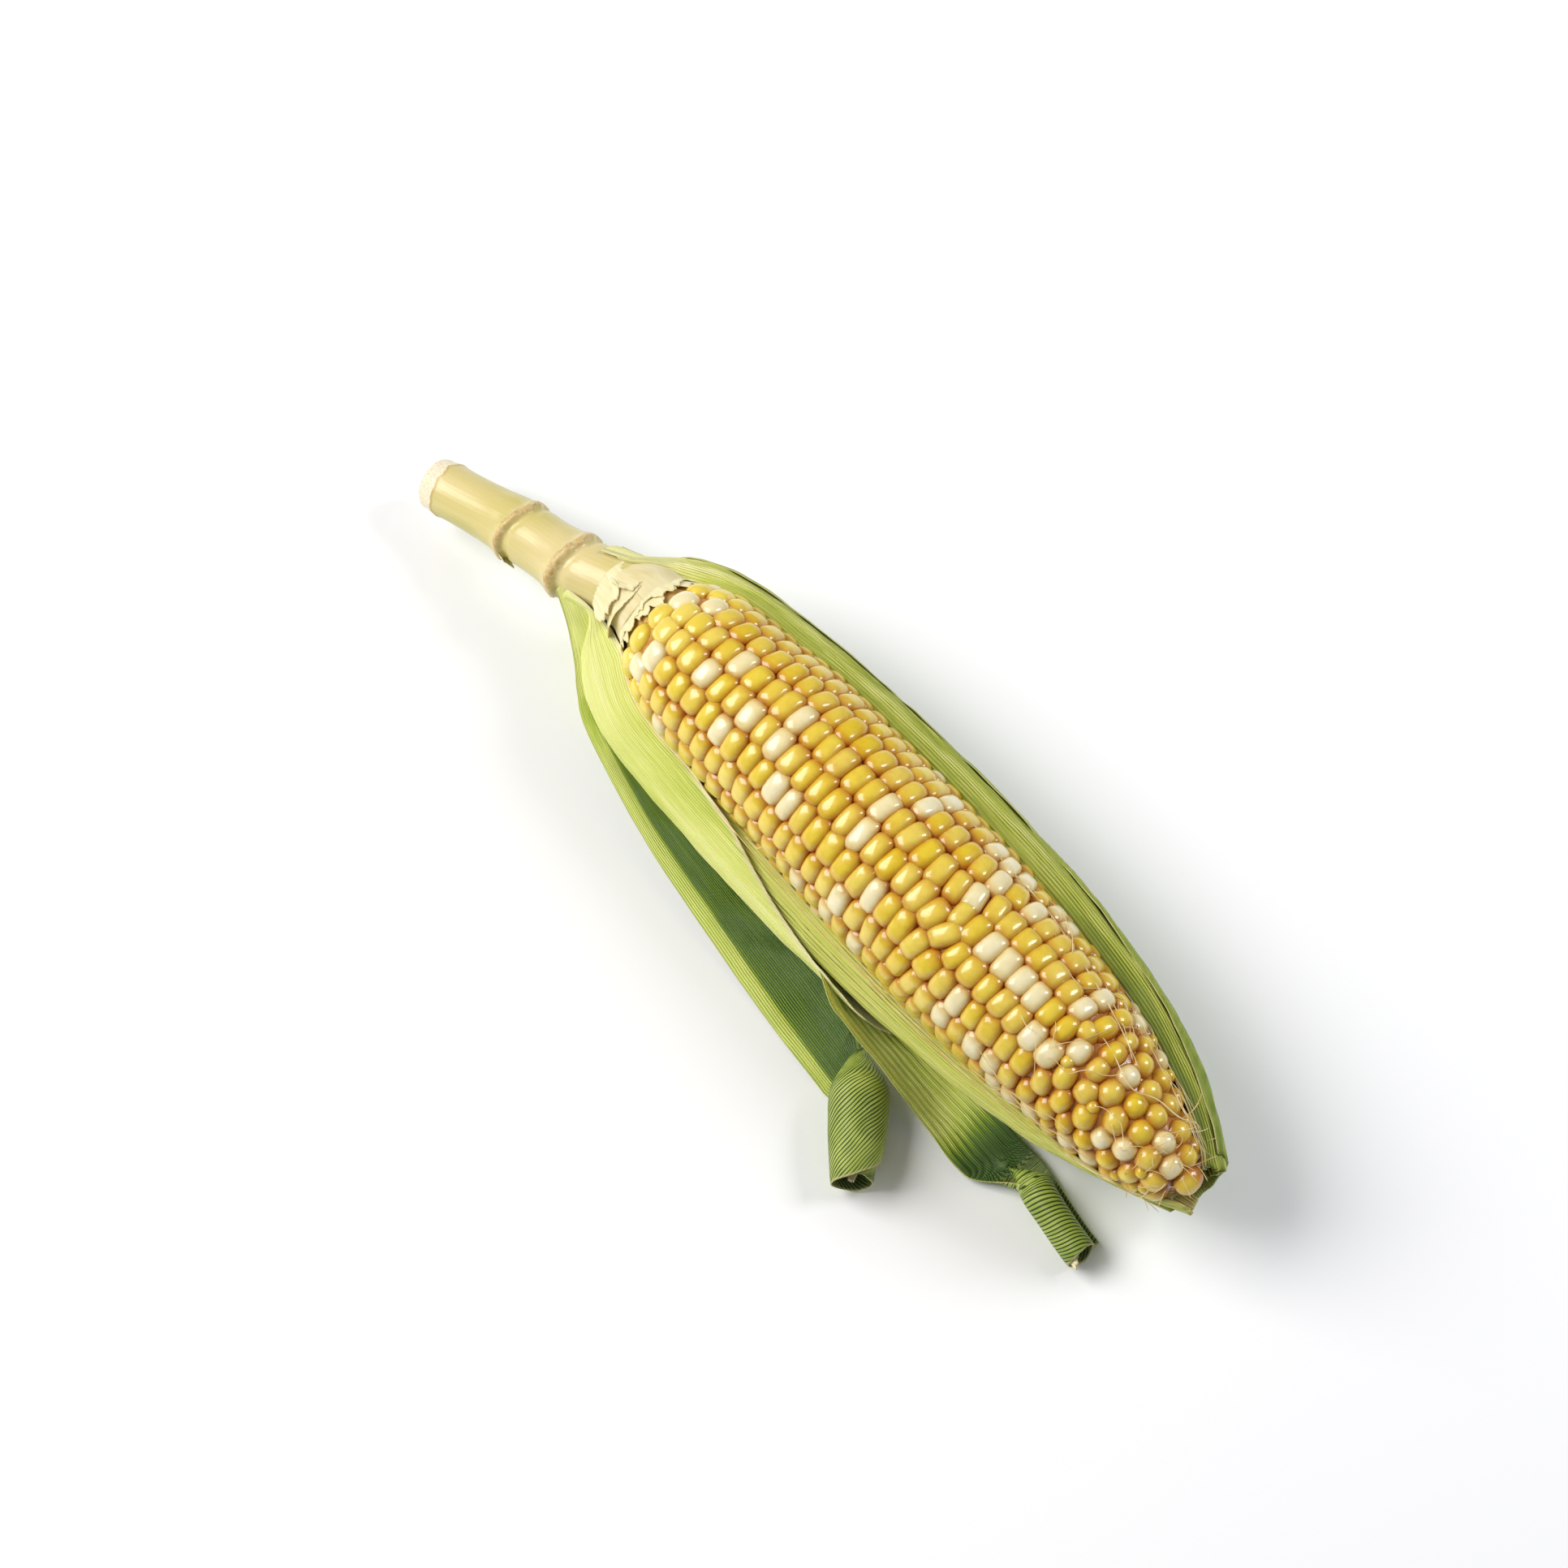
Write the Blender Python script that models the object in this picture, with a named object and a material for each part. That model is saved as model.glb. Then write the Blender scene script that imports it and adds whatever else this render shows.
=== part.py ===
"""Ear of sweet corn lying in its opened husk: shank, cob with kernels, husk leaves, torn stubs and silk.

The ear's axis runs along +X, butt to tip. A place on the ear is given as (s, a, b): s from the butt along
the axis, a sideways towards the near side (-Y) and b out through the opened window. The husk leaves are
nested layers of one boat-shaped section, so that each lies a fixed depth inside the outermost one.
"""

import math

import bmesh
import bpy
import numpy as np
from mathutils import Vector

# Driving dimensions, in metres.
EAR_LENGTH = 0.208
KERNEL_ROWS = 16
KERNEL_PITCH = 0.005
VALLEY_DEPTH = 0.0014
BUTT_RIM = 0.001
AXIS_HEIGHT = 0.031
WINDOW_TILT = math.radians(17)

LEAF_THICKNESS = 0.0007
LAYER_PITCH = 0.0013
FLAT_SHARE = 0.82
HUSK_BASE = -0.014
HUSK_END = 0.211
KERNEL_CLEARANCE = 0.001
WIDEST_LIP_SHARE = 0.55

SHANK_SIDES = 20
STUB_THICKNESS = 0.0008
SILK_RADIUS = 0.00028
SILK_LIFT = 0.0007
SILK_STATIONS = 22
SILK_SIDES = 4

# Radius over the kernel crowns, then the husk's half-width on each side and its depth below the axis.
KERNEL_RADIUS = (
    (-0.014, 0.0094), (0.0, 0.012), (0.010, 0.0168), (0.039, 0.0213), (0.078, 0.0235),
    (0.106, 0.024), (0.154, 0.0212), (0.183, 0.0158), (0.200, 0.0095), (0.206, 0.0058), (0.212, 0.003),
)
NEAR_WIDTH = (
    (-0.014, 0.0136), (-0.009, 0.0155), (-0.004, 0.0205), (0.001, 0.0262), (0.010, 0.0315), (0.034, 0.0345),
    (0.062, 0.0352), (0.090, 0.0347), (0.120, 0.0328), (0.154, 0.0285), (0.187, 0.0205), (0.200, 0.0152),
    (0.213, 0.0102),
)
FAR_WIDTH = (
    (-0.014, 0.0136), (-0.009, 0.0160), (-0.004, 0.0205), (0.001, 0.0232), (0.010, 0.0262), (0.039, 0.0306),
    (0.080, 0.0338), (0.119, 0.0342), (0.148, 0.0321), (0.176, 0.0269), (0.195, 0.0206), (0.207, 0.0140),
    (0.213, 0.0110),
)
UNDER_DEPTH = (
    (-0.014, 0.0134), (-0.009, 0.0148), (-0.004, 0.0172), (0.001, 0.0200), (0.010, 0.0240), (0.039, 0.0286),
    (0.078, 0.0306), (0.116, 0.0308), (0.154, 0.0286), (0.183, 0.0228), (0.200, 0.017), (0.213, 0.0135),
)
SIDE_LEVEL = ((-0.014, -0.001), (0.010, -0.004), (0.040, -0.005), (0.160, -0.005), (0.212, -0.003))
LIP_HEIGHT = ((-0.014, 0.004), (0.010, 0.007), (0.040, 0.008), (0.160, 0.008), (0.212, 0.0065))

# The shank's axis as (s, a, b), and its radius along the way from the ear to the cut end.
SHANK_AXIS = (
    (-0.0004, 0.0, 0.0), (-0.005, 0.0, 0.0), (-0.014, 0.0028, -0.0008), (-0.0275, 0.0074, -0.0032),
    (-0.0475, 0.0116, -0.0074), (-0.0770, 0.0196, -0.0132),
)
# How far the husk's base follows the shank off the ear's axis, as (s, a, b).
BASE_OFFSET = ((-0.014, 0.0028, -0.0006), (-0.008, 0.0014, -0.0002), (0.002, 0.0, 0.0), (0.010, 0.0, 0.0))
SHANK_RADIUS = (
    (0.0, 0.0112), (0.07, 0.0106), (0.16, 0.0092), (0.24, 0.0087), (0.31, 0.0088), (0.325, 0.0100),
    (0.36, 0.0100), (0.375, 0.0090), (0.44, 0.0086), (0.56, 0.0085), (0.585, 0.0094), (0.615, 0.0094),
    (0.63, 0.0084), (0.75, 0.0079), (0.90, 0.0076), (0.935, 0.0079), (0.97, 0.0081), (1.0, 0.0076),
)

# Each leaf's reach round the section: 0 is the near margin at the kernels, 1 the near side, 2 the bottom,
# 3 the far side and 4 the far margin at the kernels.
NEAR_OUTER_MARGIN = (
    (HUSK_BASE, 0.35), (-0.006, 0.12), (0.002, 0.0), (0.037, 0.05), (0.060, 0.38), (0.080, 0.68),
    (0.097, 0.98), (0.113, 1.25),
)
FAR_INNER_MARGIN = ((HUSK_BASE, 3.6), (-0.006, 3.8), (0.002, 4.0), (0.040, 4.0))

# The long leaf's two edges in the world's X from the butt, Y and Z, before it reaches its roll.
LONG_LEAF_OUTER = (
    (-0.0141, -0.0164, 0.0250), (-0.0063, -0.0222, 0.0210), (-0.0007, -0.0267, 0.0170),
    (0.0089, -0.0302, 0.0130), (0.0392, -0.0355, 0.0080), (0.0694, -0.0383, 0.0050),
    (0.0993, -0.0419, 0.0025), (0.1240, -0.0450, 0.0010),
)
LONG_LEAF_INNER = (
    (-0.0141, -0.0132, 0.0180), (-0.0063, -0.0152, 0.0125), (-0.0007, -0.0172, 0.0088),
    (0.0089, -0.0190, 0.0058), (0.0392, -0.0215, 0.0026), (0.0694, -0.0222, 0.0014),
    (0.0960, -0.0232, 0.0011), (0.1130, -0.0280, 0.0008),
)
LONG_LEAF_STEPS = 21
LONG_LEAF_COLUMNS = 7
LONG_LEAF_SAG = 0.0022
LONG_ROLL_START = Vector((0.1262, -0.0356, 0.0))
LONG_ROLL_END = Vector((0.1488, -0.0574, 0.0))
LONG_ROLL_TURNS = 1.45
LONG_ROLL_RADIUS = ((0.0, 0.0064), (0.35, 0.0084), (1.0, 0.0071))
LONG_ROLL_TIGHTENING = 0.36
LONG_ROLL_STEPS = 26
# How far along the roll the leaf's two margins lie, as the roll goes on.
LONG_ROLL_HEAD = ((0.0, 0.0), (0.3, 0.02), (0.6, 0.16), (0.85, 0.55), (1.0, 0.78))
LONG_ROLL_TAIL = ((0.0, 0.52), (0.15, 0.80), (0.33, 0.98), (0.6, 1.0), (1.0, 0.97))

# The curled leaf past the husk: its two edges, then the scroll that it ends in.
CURL_START = 0.016
CURL_STEPS = 26
CURL_COLUMNS = 18
CURL_REACH = (1.42, 0.78)
CURL_OUTER = (
    (0.118, -0.0298, 0.0200), (0.128, -0.0305, 0.0160), (0.1367, -0.0320, 0.0125), (0.1476, -0.0328, 0.0065),
    (0.1628, -0.0331, 0.0026), (0.172, -0.0320, 0.0012), (0.180, -0.0300, 0.0010),
)
CURL_INNER = (
    (0.118, -0.0190, 0.0040), (0.140, -0.0176, 0.0040), (0.155, -0.0165, 0.0042), (0.172, -0.0160, 0.0030),
    (0.180, -0.0160, 0.0020),
)
CURL_FREE = (0.116, 0.130)
CURL_SCROLL = (0.164, 0.181)
CURL_END = 0.200
CURL_RADII = (0.0047, 0.0033)
CURL_TURNS = 1.3
CURL_MIDDLE = -0.0216
CURL_FLAT_SHARE = 0.2
CURL_FLAT_WIDTH = 0.0060
CURL_FLAT_LIFT = 0.002
CURL_SAG = 0.0030

STUB_STEPS = 8
STUB_COLUMNS = 3
STUB_RAGGED = 0.0012

LEAF_COLOURS = {
    "husk_inner_under": (0.62, 0.66, 0.36),
    "husk_far_membrane": (0.80, 0.76, 0.52),
    "husk_far_inner": (0.45, 0.58, 0.16),
    "husk_far_outer": (0.33, 0.50, 0.10),
    "husk_near_inner": (0.42, 0.53, 0.14),
    "husk_near_curled": (0.20, 0.36, 0.06),
    "husk_near_outer": (0.55, 0.68, 0.25),
    "husk_long_rolled": (0.24, 0.44, 0.08),
}


def clear_scene():
    for old in list(bpy.data.objects):
        bpy.data.objects.remove(old, do_unlink=True)


def make_material(name, colour, roughness):
    material = bpy.data.materials.new(name)
    material.use_nodes = True
    shader = material.node_tree.nodes["Principled BSDF"]
    shader.inputs["Base Color"].default_value = (*colour, 1.0)
    shader.inputs["Roughness"].default_value = roughness
    shader.inputs["Metallic"].default_value = 0.0
    return material


def smooth_curve(points):
    """A function that passes smoothly through (x, value...) rows, and holds its end values outside them."""
    rows = np.array(points, float)
    xs = rows[:, 0]
    values = rows[:, 1:]
    slopes = np.gradient(values, xs, axis=0)

    def at(x):
        x = min(max(x, xs[0]), xs[-1])
        k = min(max(int(np.searchsorted(xs, x)) - 1, 0), len(xs) - 2)
        span = xs[k + 1] - xs[k]
        t = (x - xs[k]) / span
        start = values[k] * (1 + 2 * t) * (1 - t) ** 2 + slopes[k] * span * t * (1 - t) ** 2
        end = values[k + 1] * t * t * (3 - 2 * t) + slopes[k + 1] * span * t * t * (t - 1)
        found = start + end
        return float(found[0]) if len(found) == 1 else found

    return at


kernel_radius = smooth_curve(KERNEL_RADIUS)
near_width = smooth_curve(NEAR_WIDTH)
far_width = smooth_curve(FAR_WIDTH)
under_depth = smooth_curve(UNDER_DEPTH)
side_level = smooth_curve(SIDE_LEVEL)
lip_height = smooth_curve(LIP_HEIGHT)
base_offset = smooth_curve(BASE_OFFSET)


def eased(x, start, end):
    t = min(max((x - start) / (end - start), 0.0), 1.0)
    return t * t * (3 - 2 * t)


def world(s, a, b):
    cosine = math.cos(WINDOW_TILT)
    sine = math.sin(WINDOW_TILT)
    return Vector((s, -cosine * a - sine * b, AXIS_HEIGHT - sine * a + cosine * b))


def round_ear(s, angle, radius):
    """A point round the ear's axis, its angle from the middle of the window towards the near side."""
    return world(s, radius * math.sin(angle), radius * math.cos(angle))


def boat(s, reach, depth):
    """The husk's section at s: a lip that turns in to the kernels, then a quarter ellipse down to the bottom."""
    near = reach < 2
    along = reach if near else 4 - reach
    side = 1 if near else -1
    width = near_width(s) if near else far_width(s)
    level = side_level(s)
    turn = math.pi / 2 * (along if along < 1 else along - 1)
    if along < 1:
        lip = min(width - kernel_radius(s) - KERNEL_CLEARANCE, WIDEST_LIP_SHARE * width)
        a = width - lip + (lip - depth) * math.sin(turn)
        b = level + (lip_height(s) - depth) * math.cos(turn)
    else:
        a = (width - depth) * math.cos(turn)
        b = level - (under_depth(s) + level - depth) * math.sin(turn)
    offset = base_offset(s)
    return world(s, side * a + offset[0], b + offset[1])


def new_object(name, shape, material):
    mesh = bpy.data.meshes.new(name)
    shape.to_mesh(mesh)
    shape.free()
    mesh.shade_smooth()
    mesh.set_sharp_from_angle(angle=math.radians(50))
    made = bpy.data.objects.new(name, mesh)
    made.data.materials.append(material)
    bpy.context.scene.collection.objects.link(made)
    return made


def sheet_object(name, rows, thickness, material, floor=0.0):
    """A closed sheet of even thickness about a grid of middle points, flattened at the level of floor."""
    grid = np.array([[tuple(point) for point in row] for row in rows])
    along = np.gradient(grid, axis=0)
    across = np.gradient(grid, axis=1)
    normals = np.cross(along, across)
    normals /= np.linalg.norm(normals, axis=2, keepdims=True)
    shape = bmesh.new()
    sides = []
    for sign in (0.5, -0.5):
        points = grid + normals * thickness * sign
        lowest = floor + np.where(normals[:, :, 2] * sign > 0, thickness, 0.0)
        points[:, :, 2] = np.maximum(points[:, :, 2], lowest)
        sides.append([[shape.verts.new(point) for point in row] for row in points])
    top, bottom = sides
    last_row = len(grid) - 1
    last_column = len(grid[0]) - 1
    for i in range(last_row):
        for j in range(last_column):
            shape.faces.new((top[i][j], top[i + 1][j], top[i + 1][j + 1], top[i][j + 1]))
            shape.faces.new((bottom[i][j], bottom[i][j + 1], bottom[i + 1][j + 1], bottom[i + 1][j]))
    for i in range(last_row):
        for j in (0, last_column):
            shape.faces.new((top[i][j], top[i + 1][j], bottom[i + 1][j], bottom[i][j]))
    for j in range(last_column):
        for i in (0, last_row):
            shape.faces.new((top[i][j], top[i][j + 1], bottom[i][j + 1], bottom[i][j]))
    bmesh.ops.triangulate(shape, faces=shape.faces)
    bmesh.ops.recalc_face_normals(shape, faces=shape.faces)
    if shape.calc_volume(signed=True) < 0:
        bmesh.ops.reverse_faces(shape, faces=shape.faces)
    return new_object(name, shape, material)


def ringed_object(name, rings, material):
    """A closed solid from rings of points, with a flat or pointed cap on each end."""
    shape = bmesh.new()
    loops = [[shape.verts.new(point) for point in ring] for ring in rings]
    for ring, following in zip(loops, loops[1:]):
        for j in range(len(ring)):
            k = (j + 1) % len(ring)
            shape.faces.new((ring[j], ring[k], following[k], following[j]))
    shape.faces.new(loops[0])
    shape.faces.new(loops[-1])
    bmesh.ops.triangulate(shape, faces=shape.faces)
    bmesh.ops.recalc_face_normals(shape, faces=shape.faces)
    if shape.calc_volume(signed=True) < 0:
        bmesh.ops.reverse_faces(shape, faces=shape.faces)
    return new_object(name, shape, material)


def make_ear():
    """The cob with its kernels: each kernel is a low four-sided crown between valleys."""
    shape = bmesh.new()
    pitch = KERNEL_PITCH
    count = int((EAR_LENGTH - BUTT_RIM) / pitch)
    step = 2 * math.pi / KERNEL_ROWS
    valleys = []
    for i in range(count + 1):
        s = BUTT_RIM + i * pitch
        radius = kernel_radius(s) - VALLEY_DEPTH
        valleys.append([shape.verts.new(round_ear(s, j * step, radius)) for j in range(KERNEL_ROWS)])
    for i in range(count):
        for j in range(KERNEL_ROWS):
            k = (j + 1) % KERNEL_ROWS
            s = BUTT_RIM + (i + 0.5) * pitch
            crown = shape.verts.new(round_ear(s, (j + 0.5) * step, kernel_radius(s)))
            corners = (valleys[i][j], valleys[i][k], valleys[i + 1][k], valleys[i + 1][j])
            for m in range(4):
                shape.faces.new((corners[m], corners[(m + 1) % 4], crown))
    butt = shape.verts.new(world(0.0, 0, 0))
    tip = shape.verts.new(world(EAR_LENGTH, 0, 0))
    for j in range(KERNEL_ROWS):
        k = (j + 1) % KERNEL_ROWS
        shape.faces.new((valleys[0][k], valleys[0][j], butt))
        shape.faces.new((valleys[-1][j], valleys[-1][k], tip))
    bmesh.ops.recalc_face_normals(shape, faces=shape.faces)
    return new_object("ear_kernels", shape, make_material("kernels", (0.80, 0.55, 0.09), 0.3))


def make_shank():
    """The jointed stem from the ear's base to its cut end, with a raised ring at each node."""
    axis = smooth_curve([(k / (len(SHANK_AXIS) - 1), *point) for k, point in enumerate(SHANK_AXIS)])
    path = [Vector(axis(k / 60)) for k in range(61)]
    lengths = np.concatenate([[0], np.cumsum([(q - p).length for p, q in zip(path, path[1:])])])
    rings = []
    for share, radius in SHANK_RADIUS:
        t = float(np.interp(share, lengths / lengths[-1], np.linspace(0, 1, len(path))))
        here = Vector(axis(t))
        heading = (Vector(axis(min(t + 0.01, 1))) - Vector(axis(max(t - 0.01, 0)))).normalized()
        across = heading.cross(Vector((0, 0, 1))).normalized()
        up = across.cross(heading)
        ring = []
        for j in range(SHANK_SIDES):
            turn = 2 * math.pi * j / SHANK_SIDES
            ring.append(world(*(here + across * radius * math.cos(turn) + up * radius * math.sin(turn))))
        rings.append(ring)
    return ringed_object("shank", rings, make_material("shank", (0.72, 0.68, 0.36), 0.45))


def hugging_rows(start, end, stations, first, last, columns, depth, tip_round=0.0):
    """Middle points of a leaf that keeps to one layer, and the level it is flattened at.

    first and last give its reach at s; tip_round draws its end back at the leaf's edges.
    """
    rows = []
    for i in range(stations + 1):
        row = []
        for j in range(columns + 1):
            across = j / columns
            pulled = end - tip_round * (2 * across - 1) ** 2
            s = start + (pulled - start) * i / stations
            low = first(s)
            row.append(boat(s, low + (last(s) - low) * across, depth))
        rows.append(row)
    return rows, depth * FLAT_SHARE


def held(value):
    return lambda s: value


def make_hugging_leaves(materials):
    margin = smooth_curve(NEAR_OUTER_MARGIN)
    far_margin = smooth_curve(FAR_INNER_MARGIN)
    leaves = {
        "husk_far_outer": hugging_rows(
            HUSK_BASE, HUSK_END - 0.001, 26, held(1.48), held(3.36), 13, 0.0, 0.002
        ),
        "husk_far_inner": hugging_rows(
            HUSK_BASE, HUSK_END, 24, held(2.3), far_margin, 12, LAYER_PITCH, 0.003
        ),
        "husk_near_outer": hugging_rows(HUSK_BASE, 0.113, 18, margin, held(1.85), 9, LAYER_PITCH),
        "husk_far_membrane": hugging_rows(
            -0.003, 0.120, 16, held(3.05), held(3.98), 6, 2 * LAYER_PITCH, 0.01
        ),
        "husk_near_inner": hugging_rows(
            0.004, HUSK_END + 0.002, 24, held(0.02), held(1.95), 12, 3 * LAYER_PITCH, 0.002
        ),
        "husk_inner_under": hugging_rows(
            0.004, HUSK_END - 0.004, 20, held(1.3), held(2.8), 8, 4 * LAYER_PITCH
        ),
    }
    for name, (rows, floor) in leaves.items():
        sheet_object(name, rows, LEAF_THICKNESS, materials[name], floor)


def make_long_leaf(material):
    """The long outer leaf: it leaves the husk's base, falls away to the surface and ends in a diagonal roll."""
    outer = smooth_curve([(k, *point) for k, point in enumerate(LONG_LEAF_OUTER)])
    inner = smooth_curve([(k, *point) for k, point in enumerate(LONG_LEAF_INNER)])
    rows = []
    for i in range(LONG_LEAF_STEPS + 1):
        k = (len(LONG_LEAF_OUTER) - 1) * i / LONG_LEAF_STEPS
        low = Vector(inner(k))
        high = Vector(outer(k))
        row = []
        for j in range(LONG_LEAF_COLUMNS + 1):
            across = j / LONG_LEAF_COLUMNS
            point = low.lerp(high, across)
            point.z += LONG_LEAF_SAG * (across ** 4 - across) * (1 - i / LONG_LEAF_STEPS)
            row.append(point)
        rows.append(row)
    axis = LONG_ROLL_END - LONG_ROLL_START
    away = Vector((-axis.y, axis.x, 0)).normalized()
    up = Vector((0, 0, 1))
    head = smooth_curve(LONG_ROLL_HEAD)
    tail = smooth_curve(LONG_ROLL_TAIL)
    roll_radius = smooth_curve(LONG_ROLL_RADIUS)
    for i in range(LONG_ROLL_STEPS + 1):
        share = i / LONG_ROLL_STEPS
        turn = 2 * math.pi * LONG_ROLL_TURNS * share
        row = []
        for j in range(LONG_LEAF_COLUMNS + 1):
            along = head(share) + (tail(share) - head(share)) * j / LONG_LEAF_COLUMNS
            widest = roll_radius(along)
            radius = widest * (1 - LONG_ROLL_TIGHTENING * share)
            height = widest + LEAF_THICKNESS / 2 - radius * math.cos(turn)
            middle = LONG_ROLL_START + axis * along
            row.append(middle + away * radius * math.sin(turn) + up * height)
        rows.append(row)
    sheet_object("husk_long_rolled", rows, LEAF_THICKNESS, material)


def curl_section(across):
    """The scroll's section as (Y, Z): in from the boat along the surface, then up and over on itself."""
    level = LEAF_THICKNESS / 2
    if across < CURL_FLAT_SHARE:
        back = 1 - across / CURL_FLAT_SHARE
        return Vector((0, CURL_MIDDLE + CURL_FLAT_WIDTH * back, level + CURL_FLAT_LIFT * back * back))
    share = (across - CURL_FLAT_SHARE) / (1 - CURL_FLAT_SHARE)
    turn = 2 * math.pi * CURL_TURNS * share
    radius = CURL_RADII[0] + (CURL_RADII[1] - CURL_RADII[0]) * share
    height = level + CURL_RADII[0] - radius * math.cos(turn)
    return Vector((0, CURL_MIDDLE - radius * math.sin(turn), height))


def make_curled_leaf(material):
    """The middle near leaf: it lies between two others, flares out past a kink and scrolls up lengthwise."""
    outer = smooth_curve(CURL_OUTER)
    inner = smooth_curve(CURL_INNER)
    rows = []
    for i in range(CURL_STEPS + 1):
        s = CURL_START + (CURL_END - CURL_START) * i / CURL_STEPS
        free = eased(s, *CURL_FREE)
        scroll = eased(s, *CURL_SCROLL)
        row = []
        for j in range(CURL_COLUMNS + 1):
            across = j / CURL_COLUMNS
            reach = CURL_REACH[0] + (CURL_REACH[1] - CURL_REACH[0]) * across
            hugging = boat(min(s, CURL_FREE[1]), reach, 2 * LAYER_PITCH)
            spread = Vector((s, *inner(s))).lerp(Vector((s, *outer(s))), across)
            spread.z -= CURL_SAG * math.sin(math.pi * across) * free
            point = hugging.lerp(spread, free).lerp(curl_section(across), scroll)
            point.x = s
            row.append(point)
        rows.append(row)
    sheet_object("husk_near_curled", rows, LEAF_THICKNESS, material)


def make_stub(name, centre, angles, s_range, radii, material):
    """A short torn strip standing up round the shank; centre is the shank's (a, b) there."""
    rows = []
    for i in range(STUB_STEPS + 1):
        angle = math.radians(angles[0] + (angles[1] - angles[0]) * i / STUB_STEPS)
        row = []
        for j in range(STUB_COLUMNS + 1):
            share = j / STUB_COLUMNS
            ragged = STUB_RAGGED * math.sin(3.1 * i + 0.8) * share
            s = s_range[0] + (s_range[1] - s_range[0]) * share + ragged
            radius = radii[0] + (radii[1] - radii[0]) * share ** 1.5
            row.append(world(s, centre[0] + radius * math.sin(angle), centre[1] + radius * math.cos(angle)))
        rows.append(row)
    sheet_object(name, rows, STUB_THICKNESS, material)


def make_stubs():
    material = make_material("torn_husk", (0.72, 0.62, 0.36), 0.7)
    make_stub("torn_stub_near", (0.0018, 0), (6, 56), (-0.0100, -0.0015), (0.0113, 0.0140), material)
    make_stub("torn_stub_far", (0.0010, 0), (-58, -2), (-0.0105, -0.0012), (0.0112, 0.0148), material)
    make_stub(
        "shank_sheath_stub", (0.0108, -0.0064), (62, 128), (-0.0490, -0.0390), (0.0115, 0.0106), material
    )


def make_silk(name, points, material):
    """One thread that lies over the kernels. points are (share, s, angle in degrees, lift) along it."""
    course = smooth_curve(points)
    path = []
    for k in range(SILK_STATIONS + 1):
        s, angle, lift = course(k / SILK_STATIONS)
        path.append(round_ear(s, math.radians(angle), kernel_radius(s) + SILK_LIFT + lift))
    rings = []
    for k, here in enumerate(path):
        heading = (path[min(k + 1, len(path) - 1)] - path[max(k - 1, 0)]).normalized()
        across = heading.cross(Vector((0, 0.3, 1))).normalized()
        up = across.cross(heading)
        ring = []
        for j in range(SILK_SIDES):
            turn = 2 * math.pi * j / SILK_SIDES
            ring.append(here + (across * math.cos(turn) + up * math.sin(turn)) * SILK_RADIUS)
        rings.append(ring)
    ringed_object(name, rings, material)


def make_all_silk():
    material = make_material("silk", (0.85, 0.70, 0.33), 0.4)
    threads = {
        "silk_near_edge": (
            (0, 0.052, 78, 0), (0.4, 0.096, 80, 0), (0.7, 0.135, 79, 0), (1, 0.168, 76, 0),
        ),
        "silk_far_long": (
            (0, 0.092, -70, 0), (0.3, 0.118, -62, 0.0004), (0.7, 0.152, -56, 0.0006), (1, 0.182, -38, 0),
        ),
        "silk_far_loop": (
            (0, 0.128, -60, 0), (0.3, 0.136, -76, 0.004), (0.6, 0.143, -64, 0.005), (1, 0.150, -50, 0.001),
        ),
        "silk_tip_upper": (
            (0, 0.170, -30, 0), (0.4, 0.184, -22, 0.0008), (0.7, 0.193, -34, 0.002), (1, 0.201, -50, 0.004),
        ),
        "silk_tip_lower": (
            (0, 0.150, 42, 0), (0.4, 0.170, 55, 0.0006), (0.7, 0.185, 64, 0.001), (1, 0.198, 60, 0.002),
        ),
    }
    for name, points in threads.items():
        make_silk(name, points, material)


def centre_on_box():
    """Moves every mesh so that the origin is at the middle of the box's footprint."""
    objects = list(bpy.context.scene.collection.objects)
    corners = np.array([vert.co for thing in objects for vert in thing.data.vertices])
    low = corners.min(axis=0)
    high = corners.max(axis=0)
    shift = Vector((-(low[0] + high[0]) / 2, -(low[1] + high[1]) / 2, 0))
    for thing in objects:
        for vert in thing.data.vertices:
            vert.co += shift


def main():
    clear_scene()
    make_ear()
    make_shank()
    materials = {name: make_material(name, colour, 0.55) for name, colour in LEAF_COLOURS.items()}
    make_hugging_leaves(materials)
    make_long_leaf(materials["husk_long_rolled"])
    make_curled_leaf(materials["husk_near_curled"])
    make_stubs()
    make_all_silk()
    centre_on_box()


main()
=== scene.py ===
import math
import random

import bpy
import numpy as np
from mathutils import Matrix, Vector

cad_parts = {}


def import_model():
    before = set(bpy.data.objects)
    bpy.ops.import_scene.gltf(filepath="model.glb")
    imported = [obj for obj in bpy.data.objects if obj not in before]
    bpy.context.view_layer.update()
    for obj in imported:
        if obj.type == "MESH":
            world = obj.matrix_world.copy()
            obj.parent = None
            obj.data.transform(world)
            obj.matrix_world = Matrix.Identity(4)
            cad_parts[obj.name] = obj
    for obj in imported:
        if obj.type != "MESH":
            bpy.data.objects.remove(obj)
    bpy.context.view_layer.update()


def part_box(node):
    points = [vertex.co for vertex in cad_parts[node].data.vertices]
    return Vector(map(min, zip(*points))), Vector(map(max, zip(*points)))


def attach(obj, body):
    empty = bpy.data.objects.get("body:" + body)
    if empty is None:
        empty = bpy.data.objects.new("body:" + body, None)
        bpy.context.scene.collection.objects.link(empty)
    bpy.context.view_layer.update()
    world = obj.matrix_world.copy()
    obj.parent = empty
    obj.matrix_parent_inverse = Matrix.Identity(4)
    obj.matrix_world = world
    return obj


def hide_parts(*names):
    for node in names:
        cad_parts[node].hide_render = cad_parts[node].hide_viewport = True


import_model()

# The ear's own place: s runs from its butt to its tip, a to the near side, b out of the opened window.
earLow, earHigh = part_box("ear_kernels")
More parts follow.
